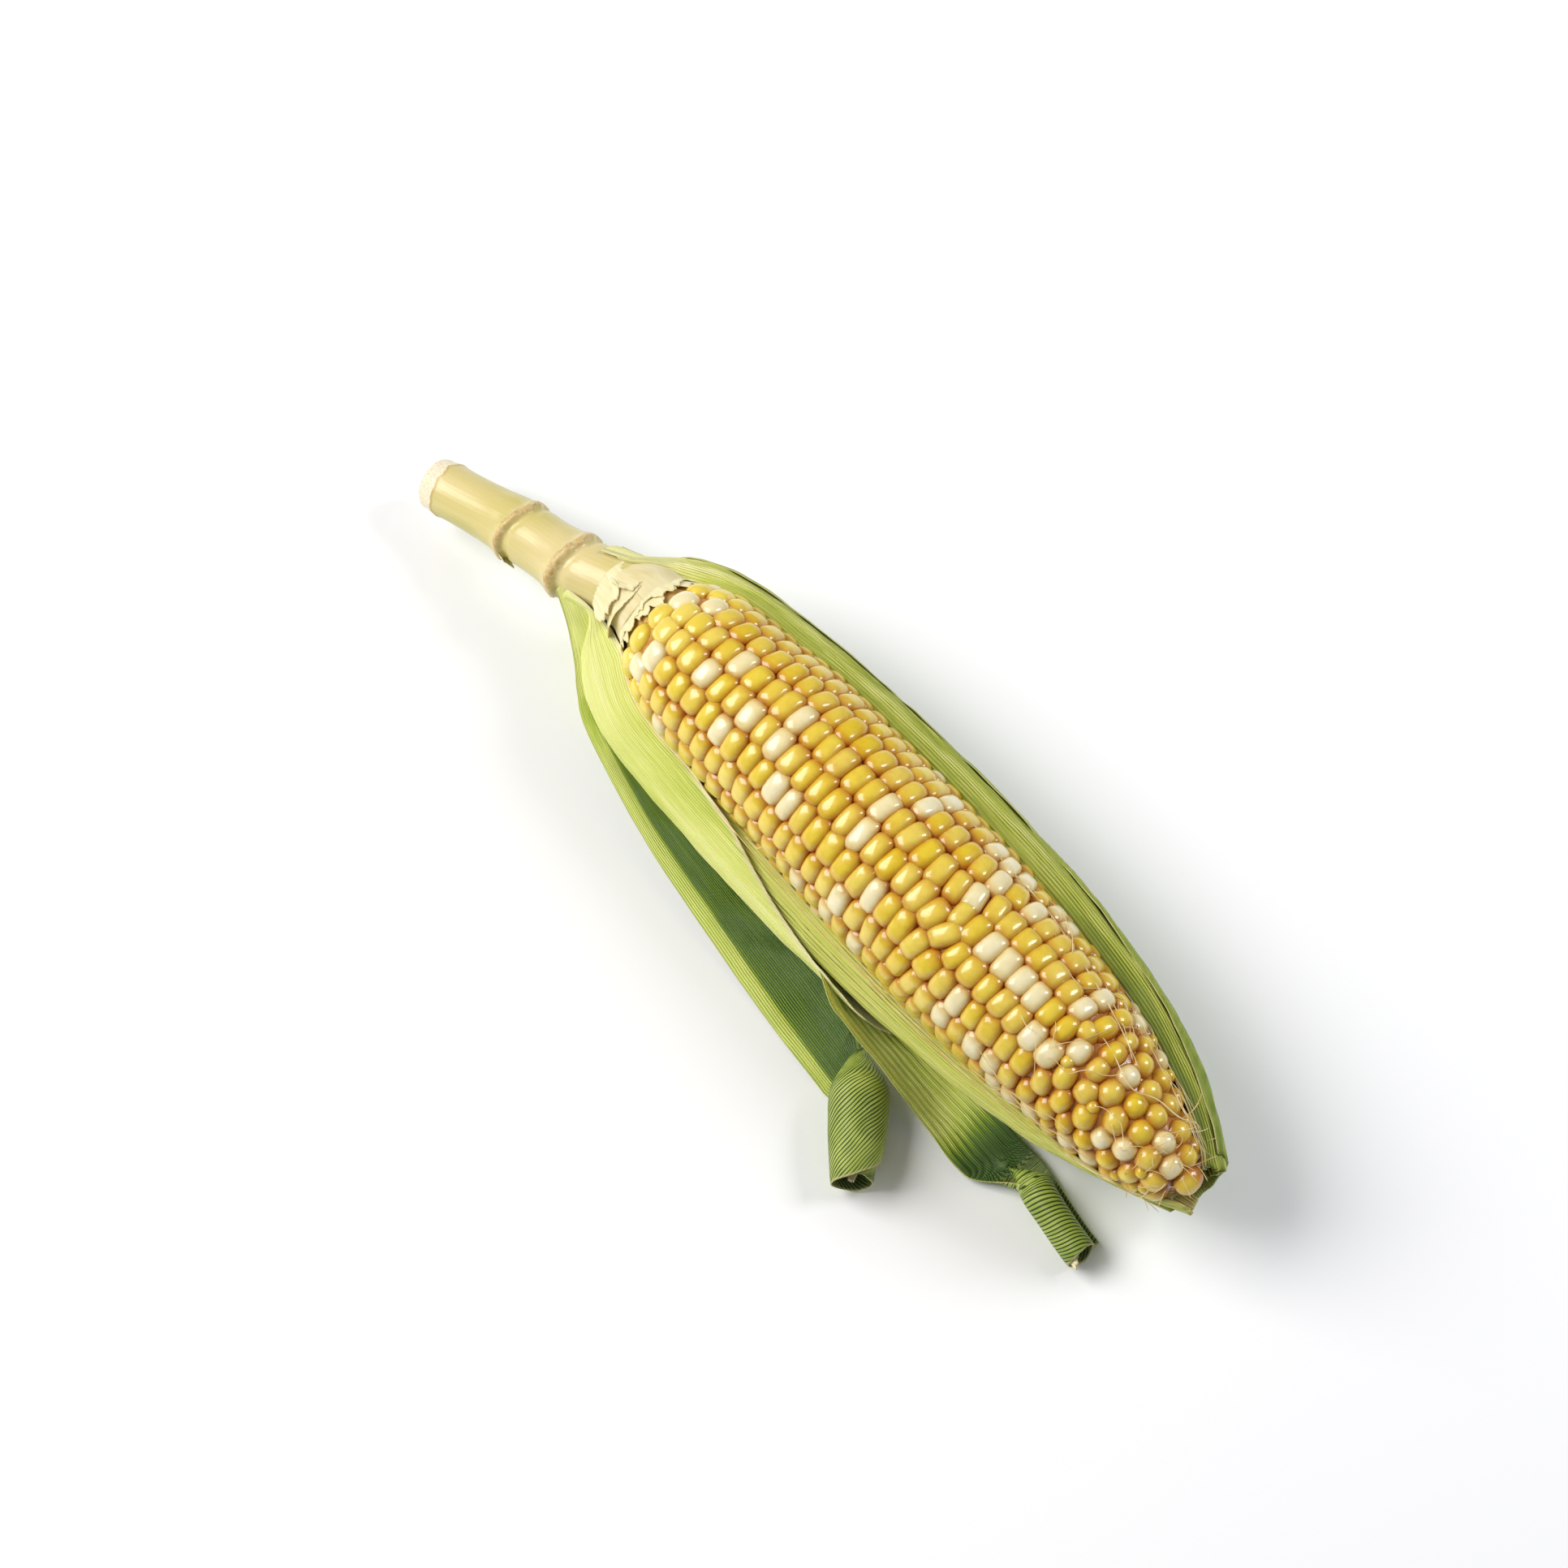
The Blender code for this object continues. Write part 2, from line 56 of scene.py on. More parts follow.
place = {
    "buttX": earLow[0],
    "axisY": (earLow[1] + earHigh[1]) / 2,
    "axisZ": (earLow[2] + earHigh[2]) / 2,
    "tilt": math.radians(17),
}
axisFoot = np.array((place["buttX"], place["axisY"], 0.0))
mm = 0.001
up = np.array((0.0, 0.0, 1.0))


def linear(hexColour):
    channels = [int(hexColour[k:k + 2], 16) / 255 for k in (1, 3, 5)]
    return [c / 12.92 if c <= 0.04045 else ((c + 0.055) / 1.055) ** 2.4 for c in channels] + [1.0]


def smoothCurve(points):
    # passes smoothly through rows of x and values, and holds its end values beyond them
    rows = np.array(points, float)
    xs = rows[:, 0]
    values = rows[:, 1:]
    slopes = np.gradient(values, xs, axis=0)

    def at(x):
        x = np.clip(np.asarray(x, float), xs[0], xs[-1])
        k = np.clip(np.searchsorted(xs, x) - 1, 0, len(xs) - 2)
        span = (xs[k + 1] - xs[k])[..., None]
        t = (x - xs[k])[..., None] / span
        start = values[k] * (1 + 2 * t) * (1 - t) ** 2 + slopes[k] * span * t * (1 - t) ** 2
        end = values[k + 1] * t * t * (3 - 2 * t) + slopes[k + 1] * span * t * t * (t - 1)
        found = start + end
        return found[..., 0] if found.shape[-1] == 1 else found

    return at


def eased(x, start, end):
    t = np.clip((np.asarray(x, float) - start) / (end - start), 0, 1)
    return t * t * (3 - 2 * t)


def unit(vectors):
    return vectors / np.maximum(np.linalg.norm(vectors, axis=-1, keepdims=True), 1e-12)


def spans(rows, columns):
    # 0 to 1 down a grid's rows, and 0 to 1 across its columns
    return np.linspace(0, 1, rows)[:, None], np.linspace(0, 1, columns)[None, :]


def fullTurn(sides):
    return np.linspace(0, 2 * math.pi, sides, endpoint=False)


def gridNormals(grid):
    return unit(np.cross(np.gradient(grid, axis=0), np.gradient(grid, axis=1)))


def ripple(x, y, seed, octaves=4):
    # a smooth random surface of about -1 to 1, from a few sines at odd angles
    rng = np.random.default_rng(seed)
    total = np.zeros(np.broadcast(x, y).shape)
    for k in range(octaves * 2):
        size = 1.6 ** (k // 2)
        angle = rng.uniform(0, math.pi)
        phase = rng.uniform(0, 2 * math.pi)
        total += np.sin(size * (x * math.cos(angle) + y * math.sin(angle)) + phase) / size
    return total / 2.2


def world(s, a, b):
    s, a, b = np.broadcast_arrays(s, a, b)
    cosine, sine = math.cos(place["tilt"]), math.sin(place["tilt"])
    y = place["axisY"] - cosine * a - sine * b
    z = place["axisZ"] - sine * a + cosine * b
    return np.stack([place["buttX"] + s, y, z], axis=-1)


def worldOf(local):
    return world(local[..., 0], local[..., 1], local[..., 2])


def stacked(above, below, rows, columns):
    # values for a grid in two parts, with these numbers of rows
    parts = [np.broadcast_to(value, (count, columns)) for value, count in zip((above, below), rows)]
    return np.concatenate(parts)


def addMesh(name, points, faces, values, material):
    # values are named numbers for every point, which the materials read
    mesh = bpy.data.meshes.new(name)
    mesh.from_pydata(points.tolist(), [], faces)
    mesh.validate()
    for key, numbers in values.items():
        layer = mesh.attributes.new(key, "FLOAT", "POINT")
        layer.data.foreach_set("value", np.ascontiguousarray(numbers, np.float32).ravel())
    mesh.shade_smooth()
    piece = bpy.data.objects.new(name, mesh)
    bpy.context.scene.collection.objects.link(piece)
    piece.data.materials.append(material)
    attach(piece, "root")
    return piece


def gridFaces(rows, columns, offset=0, flip=False, wrap=False):
    faces = []
    for i in range(rows - 1):
        for j in range(columns if wrap else columns - 1):
            a, b = offset + i * columns + j, offset + i * columns + (j + 1) % columns
            c, d = b + columns, a + columns
            faces.append((a, d, c, b) if flip else (a, b, c, d))
    return faces


def rim(start, sides, flip=False):
    # one face that closes a ring of points
    ring = range(start, start + sides)
    return tuple(reversed(ring)) if flip else tuple(ring)


def addNode(tree, kind, settings=None, inputs=None):
    # one node with its settings; an input is a value, or another node's socket to link
    node = tree.nodes.new(kind)
    for key, value in (settings or {}).items():
        if key == "stops":
            elements = node.color_ramp.elements
            elements[1].position, elements[1].color = value[-1][0], linear(value[-1][1])
            elements[0].position, elements[0].color = value[0][0], linear(value[0][1])
            for position, colour in value[1:-1]:
                elements.new(position).color = linear(colour)
        else:
            setattr(node, key, value)
    for key, value in (inputs or {}).items():
        if isinstance(value, bpy.types.NodeSocket):
            tree.links.new(value, node.inputs[key])
        else:
            node.inputs[key].default_value = value
    return node


def newMaterial(name, shaderValues):
    material = bpy.data.materials.new(name)
    material.use_nodes = True
    shader = material.node_tree.nodes["Principled BSDF"]
    for key, value in shaderValues.items():
        shader.inputs[key].default_value = value
    return material, material.node_tree, shader


kernelColours = {                 # from the gaps between kernels, darkened as painted shade, to each kernel's top, lightened as a painted highlight
    "gold": [(0.0, "#9C4C12"), (0.58, "#B46A16"), (0.73, "#C68C14"), (0.87, "#D4A812"), (1.0, "#E5C524")],
    # the paler gold: a painted-light copy of the gold, for the lit side of the ear
    "goldLitSide": [(0.0, "#A45814"), (0.58, "#BC781A"), (0.73, "#CE9A20"), (0.87, "#DEBB2A"), (1.0, "#EED74C")],
    "cream": [(0.0, "#A65E26"), (0.58, "#BE843C"), (0.73, "#D6B26C"), (0.87, "#E8D69E"), (1.0, "#F3E8C2")],
}


def kernelSkin():
    # sweet corn kernel: a taut waxy skin over milky flesh, so light sinks in and the top of each kernel
    # shines
    material, tree, shader = newMaterial("sweetCornKernelSkin", {
        "Roughness": 0.32, "IOR": 1.43, "Coat Weight": 0.80, "Coat Roughness": 0.13,
        "Subsurface Weight": 0.14, "Subsurface Scale": 0.0015, "Subsurface Radius": (1.0, 0.75, 0.22)})
    read = {key: addNode(tree, "ShaderNodeAttribute", {"attribute_name": key}).outputs["Fac"]
            for key in ("crown", "tone", "depthTone")}
    spot = addNode(tree, "ShaderNodeTexCoord").outputs["Object"]
    cloud = addNode(tree, "ShaderNodeTexNoise", None, {"Vector": spot, "Scale": 420.0, "Detail": 3.0})
    mottled = addNode(tree, "ShaderNodeMapRange", None,
                      {"Value": cloud.outputs["Fac"], "To Min": -0.10, "To Max": 0.10})
    # painted shade low on each kernel's sides and in its gaps, painted highlight on its top
    height = addNode(tree, "ShaderNodeMath", {"operation": "ADD"},
                     {0: read["crown"], 1: mottled.outputs["Result"]})
    ramps = {key: addNode(tree, "ShaderNodeValToRGB", {"stops": stops},
                          {"Fac": height.outputs[0]}).outputs["Color"]
             for key, stops in kernelColours.items()}
    # painted light and shade: near-side kernels take the paler gold, far-side ones the deeper gold, with
    # random tone besides
    yellow = addNode(tree, "ShaderNodeMix", {"data_type": "RGBA"},
                     {"Factor": read["depthTone"], 6: ramps["goldLitSide"], 7: ramps["gold"]})
    mixed = addNode(tree, "ShaderNodeMix", {"data_type": "RGBA"},
                    {"Factor": read["tone"], 6: ramps["cream"], 7: yellow.outputs[2]})
    tree.links.new(mixed.outputs[2], shader.inputs["Base Color"])
    fine = addNode(tree, "ShaderNodeTexNoise", None, {"Vector": spot, "Scale": 900.0, "Detail": 2.0})
    bump = addNode(tree, "ShaderNodeBump", None,
                   {"Strength": 0.12, "Distance": 0.0002, "Height": fine.outputs["Fac"]})
    tree.links.new(bump.outputs["Normal"], shader.inputs["Normal"])
    return material


def leafSkin(name, look):
    # husk leaf: parallel veins run its whole length, raised and paler than the tissue between them,
    # with a soft satin surface, and its free margin dries first
    material, tree, shader = newMaterial(name, {
        "Roughness": 0.46, "IOR": 1.42, "Subsurface Weight": 0.12, "Subsurface Scale": 0.001,
        "Subsurface Radius": (0.6, 1.0, 0.25), "Sheen Weight": look.get("sheen", 0.06),
        "Sheen Roughness": 0.4})
    read = {key: addNode(tree, "ShaderNodeAttribute", {"attribute_name": key}).outputs["Fac"]
            for key in ("across", "along", "edge", "inner", "shade")}
    flat = addNode(tree, "ShaderNodeCombineXYZ", None, {"X": read["across"], "Y": read["along"]}).outputs[0]
    wander = addNode(tree, "ShaderNodeTexNoise", {"noise_dimensions": "2D"},
                     {"Vector": flat, "Scale": 0.05, "Detail": 2.0})
    shifted = addNode(tree, "ShaderNodeMath", {"operation": "MULTIPLY_ADD"},
                      {0: wander.outputs["Fac"], 1: look.get("wander", 1.2), 2: read["across"]})
    turned = addNode(tree, "ShaderNodeMath", {"operation": "MULTIPLY"},
                     {0: shifted.outputs[0], 1: 2 * math.pi / look["veinPitch"]})
    wave = addNode(tree, "ShaderNodeMath", {"operation": "SINE"}, {0: turned.outputs[0]})
    vein = addNode(tree, "ShaderNodeMapRange", {"interpolation_type": "SMOOTHSTEP"},
                   {"Value": wave.outputs[0], "From Min": look.get("veinFrom", -0.6),
                    "From Max": look.get("veinTo", 1.0)}).outputs["Result"]
    # between the main veins the tissue has streaks, much longer than wide, and broader blotches
    patterns = []
    for stretch, noise in (
            ((1.0 / look["veinPitch"], 0.03, 1.0), {"Scale": 1.9, "Detail": 5.0, "Roughness": 0.62}),
            ((0.10, 0.028, 1.0), {"Scale": 1.0, "Detail": 3.0})):
        spot = addNode(tree, "ShaderNodeMapping", None, {"Vector": flat, "Scale": stretch}).outputs[0]
        patterns.append(addNode(tree, "ShaderNodeTexNoise", {"noise_dimensions": "2D"},
                                {"Vector": spot, **noise}).outputs["Fac"])
    streak, blotch = patterns
    level = look["base"]
    for pattern, share in ((vein, "veinShare"), (streak, "streakShare"), (blotch, "blotchShare")):
        level = addNode(tree, "ShaderNodeMath", {"operation": "MULTIPLY_ADD"},
                        {0: pattern, 1: look[share], 2: level}).outputs[0]
    level = addNode(tree, "ShaderNodeMath", {"operation": "ADD"}, {0: level, 1: read["shade"]}).outputs[0]
    sides = [addNode(tree, "ShaderNodeValToRGB", {"stops": look[side]}, {"Fac": level}).outputs["Color"]
             for side in ("outside", "inside")]
    faces = addNode(tree, "ShaderNodeMix", {"data_type": "RGBA"},
                    {"Factor": read["inner"], 6: sides[0], 7: sides[1]})
    # the dried margin: ragged, so its width follows the streaks
    width = look["marginWidth"]
    ragged = addNode(tree, "ShaderNodeMath", {"operation": "MULTIPLY_ADD"},
                     {0: streak, 1: -1.6 * width, 2: read["edge"]})
    dry = addNode(tree, "ShaderNodeMapRange", {"interpolation_type": "SMOOTHSTEP"},
                  {"Value": ragged.outputs[0], "From Min": -0.6 * width, "From Max": 0.5 * width,
                   "To Min": 0.9, "To Max": 0.0})
    whole = addNode(tree, "ShaderNodeMix", {"data_type": "RGBA"},
                    {"Factor": dry.outputs["Result"], 6: faces.outputs[2], 7: linear(look["margin"])})
    tree.links.new(whole.outputs[2], shader.inputs["Base Color"])
    relief = addNode(tree, "ShaderNodeMath", {"operation": "MULTIPLY_ADD"}, {0: streak, 1: 0.5, 2: vein})
    bump = addNode(tree, "ShaderNodeBump", None,
                   {"Strength": look["bump"], "Distance": 0.0003, "Height": relief.outputs[0]})
    tree.links.new(bump.outputs["Normal"], shader.inputs["Normal"])
    rough = addNode(tree, "ShaderNodeMapRange", None, {"Value": blotch, "To Min": 0.38, "To Max": 0.56})
    tree.links.new(rough.outputs["Result"], shader.inputs["Roughness"])
    return material


leafLooks = {
    "near_outer": {
        "veinPitch": 1.3, "veinShare": 0.28, "streakShare": 0.76, "blotchShare": 0.36, "base": -0.20,
        "outside": [(0.0, "#82982E"), (0.35, "#B9C84A"), (0.6, "#D8DE6C"), (1.0, "#F2F2AE")],
        "inside": [(0.0, "#A9AE52"), (1.0, "#E2DEA0")],
        "margin": "#F0EBC0", "marginWidth": 2.4, "bump": 0.4, "sheen": 0.12},
    "near_inner": {
        "veinPitch": 1.3, "veinShare": 0.28, "streakShare": 0.60, "blotchShare": 0.34, "base": -0.10,
        "outside": [(0.0, "#6A8020"), (0.35, "#9EAE36"), (0.6, "#C0C850"), (1.0, "#DEE07E")],
        "inside": [(0.0, "#7E7A34"), (1.0, "#CDBF7A")],
        "margin": "#D2C07C", "marginWidth": 2.8, "bump": 0.6},
    "far_inner": {
        "veinPitch": 1.6, "veinShare": 0.34, "streakShare": 0.66, "blotchShare": 0.34, "base": -0.14,
        "outside": [(0.0, "#74842A"), (0.35, "#9EA83A"), (0.6, "#BEC255"), (1.0, "#E4E29A")],
        "inside": [(0.0, "#565E20"), (0.5, "#9AA23E"), (1.0, "#D6D478")],
        "margin": "#E6DDB4", "marginWidth": 0.9, "bump": 0.6},
    "far_outer": {
        "veinPitch": 1.4, "veinShare": 0.26, "streakShare": 0.5, "blotchShare": 0.34, "base": -0.04,
        "outside": [(0.0, "#5A741C"), (0.35, "#87992E"), (0.6, "#A9B440"), (1.0, "#CCCE66")],
        "inside": [(0.0, "#6E7A2E"), (1.0, "#B6B75C")],
        "margin": "#C9C582", "marginWidth": 0.6, "bump": 0.6},
    "membrane": {
        "veinPitch": 1.1, "veinShare": 0.2, "streakShare": 0.5, "blotchShare": 0.3, "base": 0.05,
        "outside": [(0.0, "#B8AE70"), (0.5, "#D9CF98"), (1.0, "#EDE5BE")],
        "inside": [(0.0, "#8F8548"), (0.5, "#BFB274"), (1.0, "#E2D8A8")],
        "margin": "#F3ECD2", "marginWidth": 1.6, "bump": 0.4},
    # the long and curled leaves: the inside's dark greens are partly their own colour and partly painted
    # shade
    "dark": {
        "veinPitch": 0.95, "veinShare": 0.36, "streakShare": 0.34, "blotchShare": 0.2, "base": -0.02,
        "outside": [(0.0, "#4E6420"), (0.4, "#7C8E34"), (0.7, "#A8B24C"), (1.0, "#E4E6A0")],
        "inside": [(0.0, "#2F4818"), (0.3, "#486628"), (0.5, "#5E7C36"), (0.72, "#96AE36"), (0.86, "#C2CF4C"),
                   (1.0, "#E4EA86")],
        "margin": "#B9BE62", "marginWidth": 0.5, "bump": 0.7},
    "rolled": {
        "veinPitch": 1.05, "veinShare": 0.78, "streakShare": 0.54, "blotchShare": 0.36, "base": -0.48,
        "veinFrom": -1.0, "veinTo": -0.1, "wander": 3.4,
        "outside": [(0.0, "#2E4614"), (0.3, "#506C24"), (0.52, "#7C943A"), (0.75, "#A2B24C"),
                    (1.0, "#CED67C")],
        "inside": [(0.0, "#2E4218"), (0.35, "#4A5E2A"), (0.7, "#6E7E3A"), (1.0, "#98A458")],
        "margin": "#C9C182", "marginWidth": 0.5, "bump": 0.7},
}


def stemSkin():
    # corn stem: smooth firm rind with fine lengthwise fibres, woody brown at its rings and rough white pith
    # fibre at the cut; painted light makes it paler on top, and painted shade darker and greener beneath
    material, tree, shader = newMaterial("cornStemRind", {
        "Roughness": 0.34, "IOR": 1.45, "Coat Weight": 0.35, "Coat Roughness": 0.20,
        "Subsurface Weight": 0.18, "Subsurface Scale": 0.0015, "Subsurface Radius": (1.0, 0.85, 0.35)})
    read = {key: addNode(tree, "ShaderNodeAttribute", {"attribute_name": key}).outputs["Fac"]
            for key in ("around", "lengthwise", "ring", "cut", "green")}
    flat = addNode(tree, "ShaderNodeCombineXYZ", None, {"X": read["around"], "Y": read["lengthwise"]})
    drawnOut = addNode(tree, "ShaderNodeMapping", None,
                       {"Vector": flat.outputs[0], "Scale": (1.6, 0.05, 1.0)})
    fibre = addNode(tree, "ShaderNodeTexNoise", {"noise_dimensions": "2D"},
                    {"Vector": drawnOut.outputs[0], "Scale": 1.0, "Detail": 5.0, "Roughness": 0.6})
    rough = addNode(tree, "ShaderNodeTexNoise", {"noise_dimensions": "2D"},
                    {"Vector": flat.outputs[0], "Scale": 1.3, "Detail": 6.0, "Roughness": 0.7})
    level = addNode(tree, "ShaderNodeMath", {"operation": "MULTIPLY_ADD"},
                    {0: fibre.outputs["Fac"], 1: 0.35, 2: read["green"]})
    rind = addNode(tree, "ShaderNodeValToRGB", {"stops": [
        (0.0, "#DCCB90"), (0.35, "#D0C276"), (0.6, "#BCB55C"), (1.0, "#8C953C")]},
        {"Fac": level.outputs[0]})
    ringLevel = addNode(tree, "ShaderNodeMath", {"operation": "MULTIPLY_ADD"},
                        {0: rough.outputs["Fac"], 1: 1.1, 2: -0.22})
    ringColour = addNode(tree, "ShaderNodeValToRGB", {"stops": [
        (0.0, "#A87A3E"), (0.2, "#C29C5C"), (0.5, "#DCC68A"), (1.0, "#EFE4BC")]},
        {"Fac": ringLevel.outputs[0]})
    ringed = addNode(tree, "ShaderNodeMix", {"data_type": "RGBA"},
                     {"Factor": read["ring"], 6: rind.outputs["Color"], 7: ringColour.outputs["Color"]})
    cutColour = addNode(tree, "ShaderNodeValToRGB", {"stops": [
        (0.25, "#D9B98C"), (0.45, "#EFE2C2"), (0.8, "#FAF4E2")]}, {"Fac": rough.outputs["Fac"]})
    whole = addNode(tree, "ShaderNodeMix", {"data_type": "RGBA"},
                    {"Factor": read["cut"], 6: ringed.outputs[2], 7: cutColour.outputs["Color"]})
    tree.links.new(whole.outputs[2], shader.inputs["Base Color"])
    coarse = addNode(tree, "ShaderNodeMath", {"operation": "MULTIPLY"},
                     {0: rough.outputs["Fac"], 1: read["cut"]})
    ringRough = addNode(tree, "ShaderNodeMath", {"operation": "MULTIPLY_ADD"},
                        {0: rough.outputs["Fac"], 1: read["ring"], 2: coarse.outputs[0]})
    relief = addNode(tree, "ShaderNodeMath", {"operation": "MULTIPLY_ADD"},
                     {0: fibre.outputs["Fac"], 1: 0.35, 2: ringRough.outputs[0]})
    bump = addNode(tree, "ShaderNodeBump", None,
                   {"Strength": 0.5, "Distance": 0.0004, "Height": relief.outputs[0]})
    tree.links.new(bump.outputs["Normal"], shader.inputs["Normal"])
    return material


def tornSkin():
    # torn leaf base and chaff: dry cream tissue, matt, browned at its torn edges
    material, tree, shader = newMaterial("tornHuskTissue", {
        "Roughness": 0.6, "IOR": 1.4, "Subsurface Weight": 0.2, "Subsurface Scale": 0.001,
        "Subsurface Radius": (1.0, 0.8, 0.4)})
    read = {key: addNode(tree, "ShaderNodeAttribute", {"attribute_name": key}).outputs["Fac"]
            for key in ("across", "along", "edge")}
    flat = addNode(tree, "ShaderNodeCombineXYZ", None, {"X": read["across"], "Y": read["along"]})
    drawnOut = addNode(tree, "ShaderNodeMapping", None,
                       {"Vector": flat.outputs[0], "Scale": (0.55, 0.10, 1.0)})
    grain = addNode(tree, "ShaderNodeTexNoise", {"noise_dimensions": "2D"},
                    {"Vector": drawnOut.outputs[0], "Scale": 1.0, "Detail": 5.0, "Roughness": 0.65})
    body = addNode(tree, "ShaderNodeValToRGB", {"stops": [
        (0.2, "#DECF94"), (0.45, "#EADFAE"), (0.7, "#F2E9C2"), (1.0, "#F9F4DE")]},
        {"Fac": grain.outputs["Fac"]})
    nearEdge = addNode(tree, "ShaderNodeMapRange", {"interpolation_type": "SMOOTHSTEP"},
                       {"Value": read["edge"], "From Min": 0.0, "From Max": 0.9,
                        "To Min": 0.22, "To Max": 0.0})
    whole = addNode(tree, "ShaderNodeMix", {"data_type": "RGBA"},
                    {"Factor": nearEdge.outputs["Result"], 6: body.outputs["Color"], 7: linear("#B98F4C")})
    tree.links.new(whole.outputs[2], shader.inputs["Base Color"])
    bump = addNode(tree, "ShaderNodeBump", None,
                   {"Strength": 0.15, "Distance": 0.0001, "Height": grain.outputs["Fac"]})
    tree.links.new(bump.outputs["Normal"], shader.inputs["Normal"])
    return material


def silkSkin():
    # corn silk: a fine straw-coloured thread with a soft shine
    material, tree, shader = newMaterial("cornSilk", {
        "Roughness": 0.42, "IOR": 1.5, "Subsurface Weight": 0.2, "Subsurface Scale": 0.0005})
    spot = addNode(tree, "ShaderNodeTexCoord").outputs["Object"]
    tint = addNode(tree, "ShaderNodeTexNoise", None, {"Vector": spot, "Scale": 180.0, "Detail": 2.0})
    colour = addNode(tree, "ShaderNodeValToRGB", {"stops": [(0.3, "#CBA75C"), (0.7, "#F2E2B0")]},
                     {"Fac": tint.outputs["Fac"]})
    tree.links.new(colour.outputs["Color"], shader.inputs["Base Color"])
    return material


kernelRadius = smoothCurve((
    (-0.014, 0.0098), (0.0, 0.0130), (0.010, 0.0182), (0.039, 0.0224), (0.078, 0.0240), (0.106, 0.0243),
    (0.154, 0.0217), (0.183, 0.0170), (0.195, 0.0135), (0.204, 0.0095), (0.2095, 0.0055), (0.213, 0.003)))


def kernelSlope(s):
    return float(kernelRadius(s + mm) - kernelRadius(s - mm)) / (2 * mm)


def onEar(s, angle, lift=0.0):
    # a place on the kernels' crowns, or off them by this lift
    radius = kernelRadius(s) + lift
    return np.stack(np.broadcast_arrays(s, radius * np.sin(angle), radius * np.cos(angle)), -1)


def earShift(s):
    # the ear has grown a little to the far side of its husk
    return -1.6 * mm * eased(s, 0.020, 0.060) * (1 - eased(s, 0.165, 0.200))


earSettings = {
    "rows": 16,
    "pitch": 5.55 * mm,
    "firstRing": 12.6 * mm,
    "latticeEnd": 177 * mm,
    "splitAt": 123 * mm,         # here one more row starts, and the kernels round it fan out
    "splitAngle": -8,
    "dome": 3.4 * mm,
    "creamShare": (0.13, 0.26),  # along the body, and towards the tip
    "ballSize": 7.3 * mm,
    "tipEnd": 205 * mm,
    "seed": 11,
}


def kernelPlaces():
    # (s, angle, half length, half width, dome, turn, tip) for each kernel
    rng = random.Random(earSettings["seed"])
    rows, pitch, splitAt = earSettings["rows"], earSettings["pitch"], earSettings["splitAt"]
    ball = earSettings["ballSize"]
    wide, narrow = 2 * math.pi / rows, 2 * math.pi / (rows + 1)
    found = []

    def fanned(s):
        return float(eased(s, splitAt - 7 * mm, splitAt + 12 * mm))

    def rowAngle(side, k, s):
        before = (k - 0.5) * wide
        spread = side * (before + (k * narrow - before) * fanned(s))
        return math.radians(earSettings["splitAngle"]) + (spread if k else 0)

    lanes = [(side, k) for side in (1, -1) for k in range(1, rows // 2 + 1)] + [(1, 0)]
    for number, (side, k) in enumerate(lanes):
        s = earSettings["firstRing"] + (number * 0.5 % 1) * pitch + rng.uniform(-0.4, 0.4) * mm
        if k == 0:
            s = splitAt + 1.5 * mm
        while s < earSettings["latticeEnd"]:
            step = pitch * rng.uniform(0.93, 1.07) * (1 + 0.09 * float(eased(s, 0.05, 0.0)))
            radius = float(kernelRadius(s))
            angle = rowAngle(side, k, s)
            lean = math.atan2((rowAngle(side, k, s + 3 * mm) - angle) * radius, 3 * mm)
            gap = wide + (narrow - wide) * fanned(s)
            angle += rng.gauss(0, 0.012)
            found.append([s, angle, step * rng.uniform(0.57, 0.63),
                          radius * gap * 0.565 * rng.uniform(0.94, 1.04),
                          earSettings["dome"] * rng.uniform(0.92, 1.06),
                          lean * 1.25 + rng.gauss(0, 0.07), 0.0])
            s += step
    # the butt's shoulder: one ring of larger kernels that face back a little
    butt = 12
    for j in range(butt):
        angle = 2 * math.pi * (j + rng.uniform(-0.1, 0.1)) / butt
        found.append([(7.0 + rng.uniform(-0.6, 0.6)) * mm, angle, 3.7 * mm, 4.5 * mm, 3.8 * mm, 0.0, -0.5])
    # the tip: rings of round kernels that grow fewer, then pushed apart until they lie evenly
    fixed = len(found)
    s = earSettings["latticeEnd"] + 2.0 * mm
    ring = 0
    while s < earSettings["tipEnd"]:
        count = max(3, round(2 * math.pi * (float(kernelRadius(s)) - 1.0 * mm) / ball))
        for j in range(count):
            angle = 2 * math.pi * (j + 0.5 * (ring % 2) + rng.uniform(-0.1, 0.1)) / count
            half = ball / 2 * rng.uniform(0.94, 1.10)
            found.append([s, angle, half, half * rng.uniform(0.98, 1.1), half * 1.2,
                          rng.uniform(-0.5, 0.5), 1.0])
        s += ball * 0.84 / math.sqrt(1 + kernelSlope(s) ** 2)
        ring += 1
    pushApart(found, fixed)
    fillHoles(found, rng)
    found.append([0.2076, 0.35, 3.7 * mm, 3.8 * mm, 3.8 * mm, 0.0, 1.6])
    return found


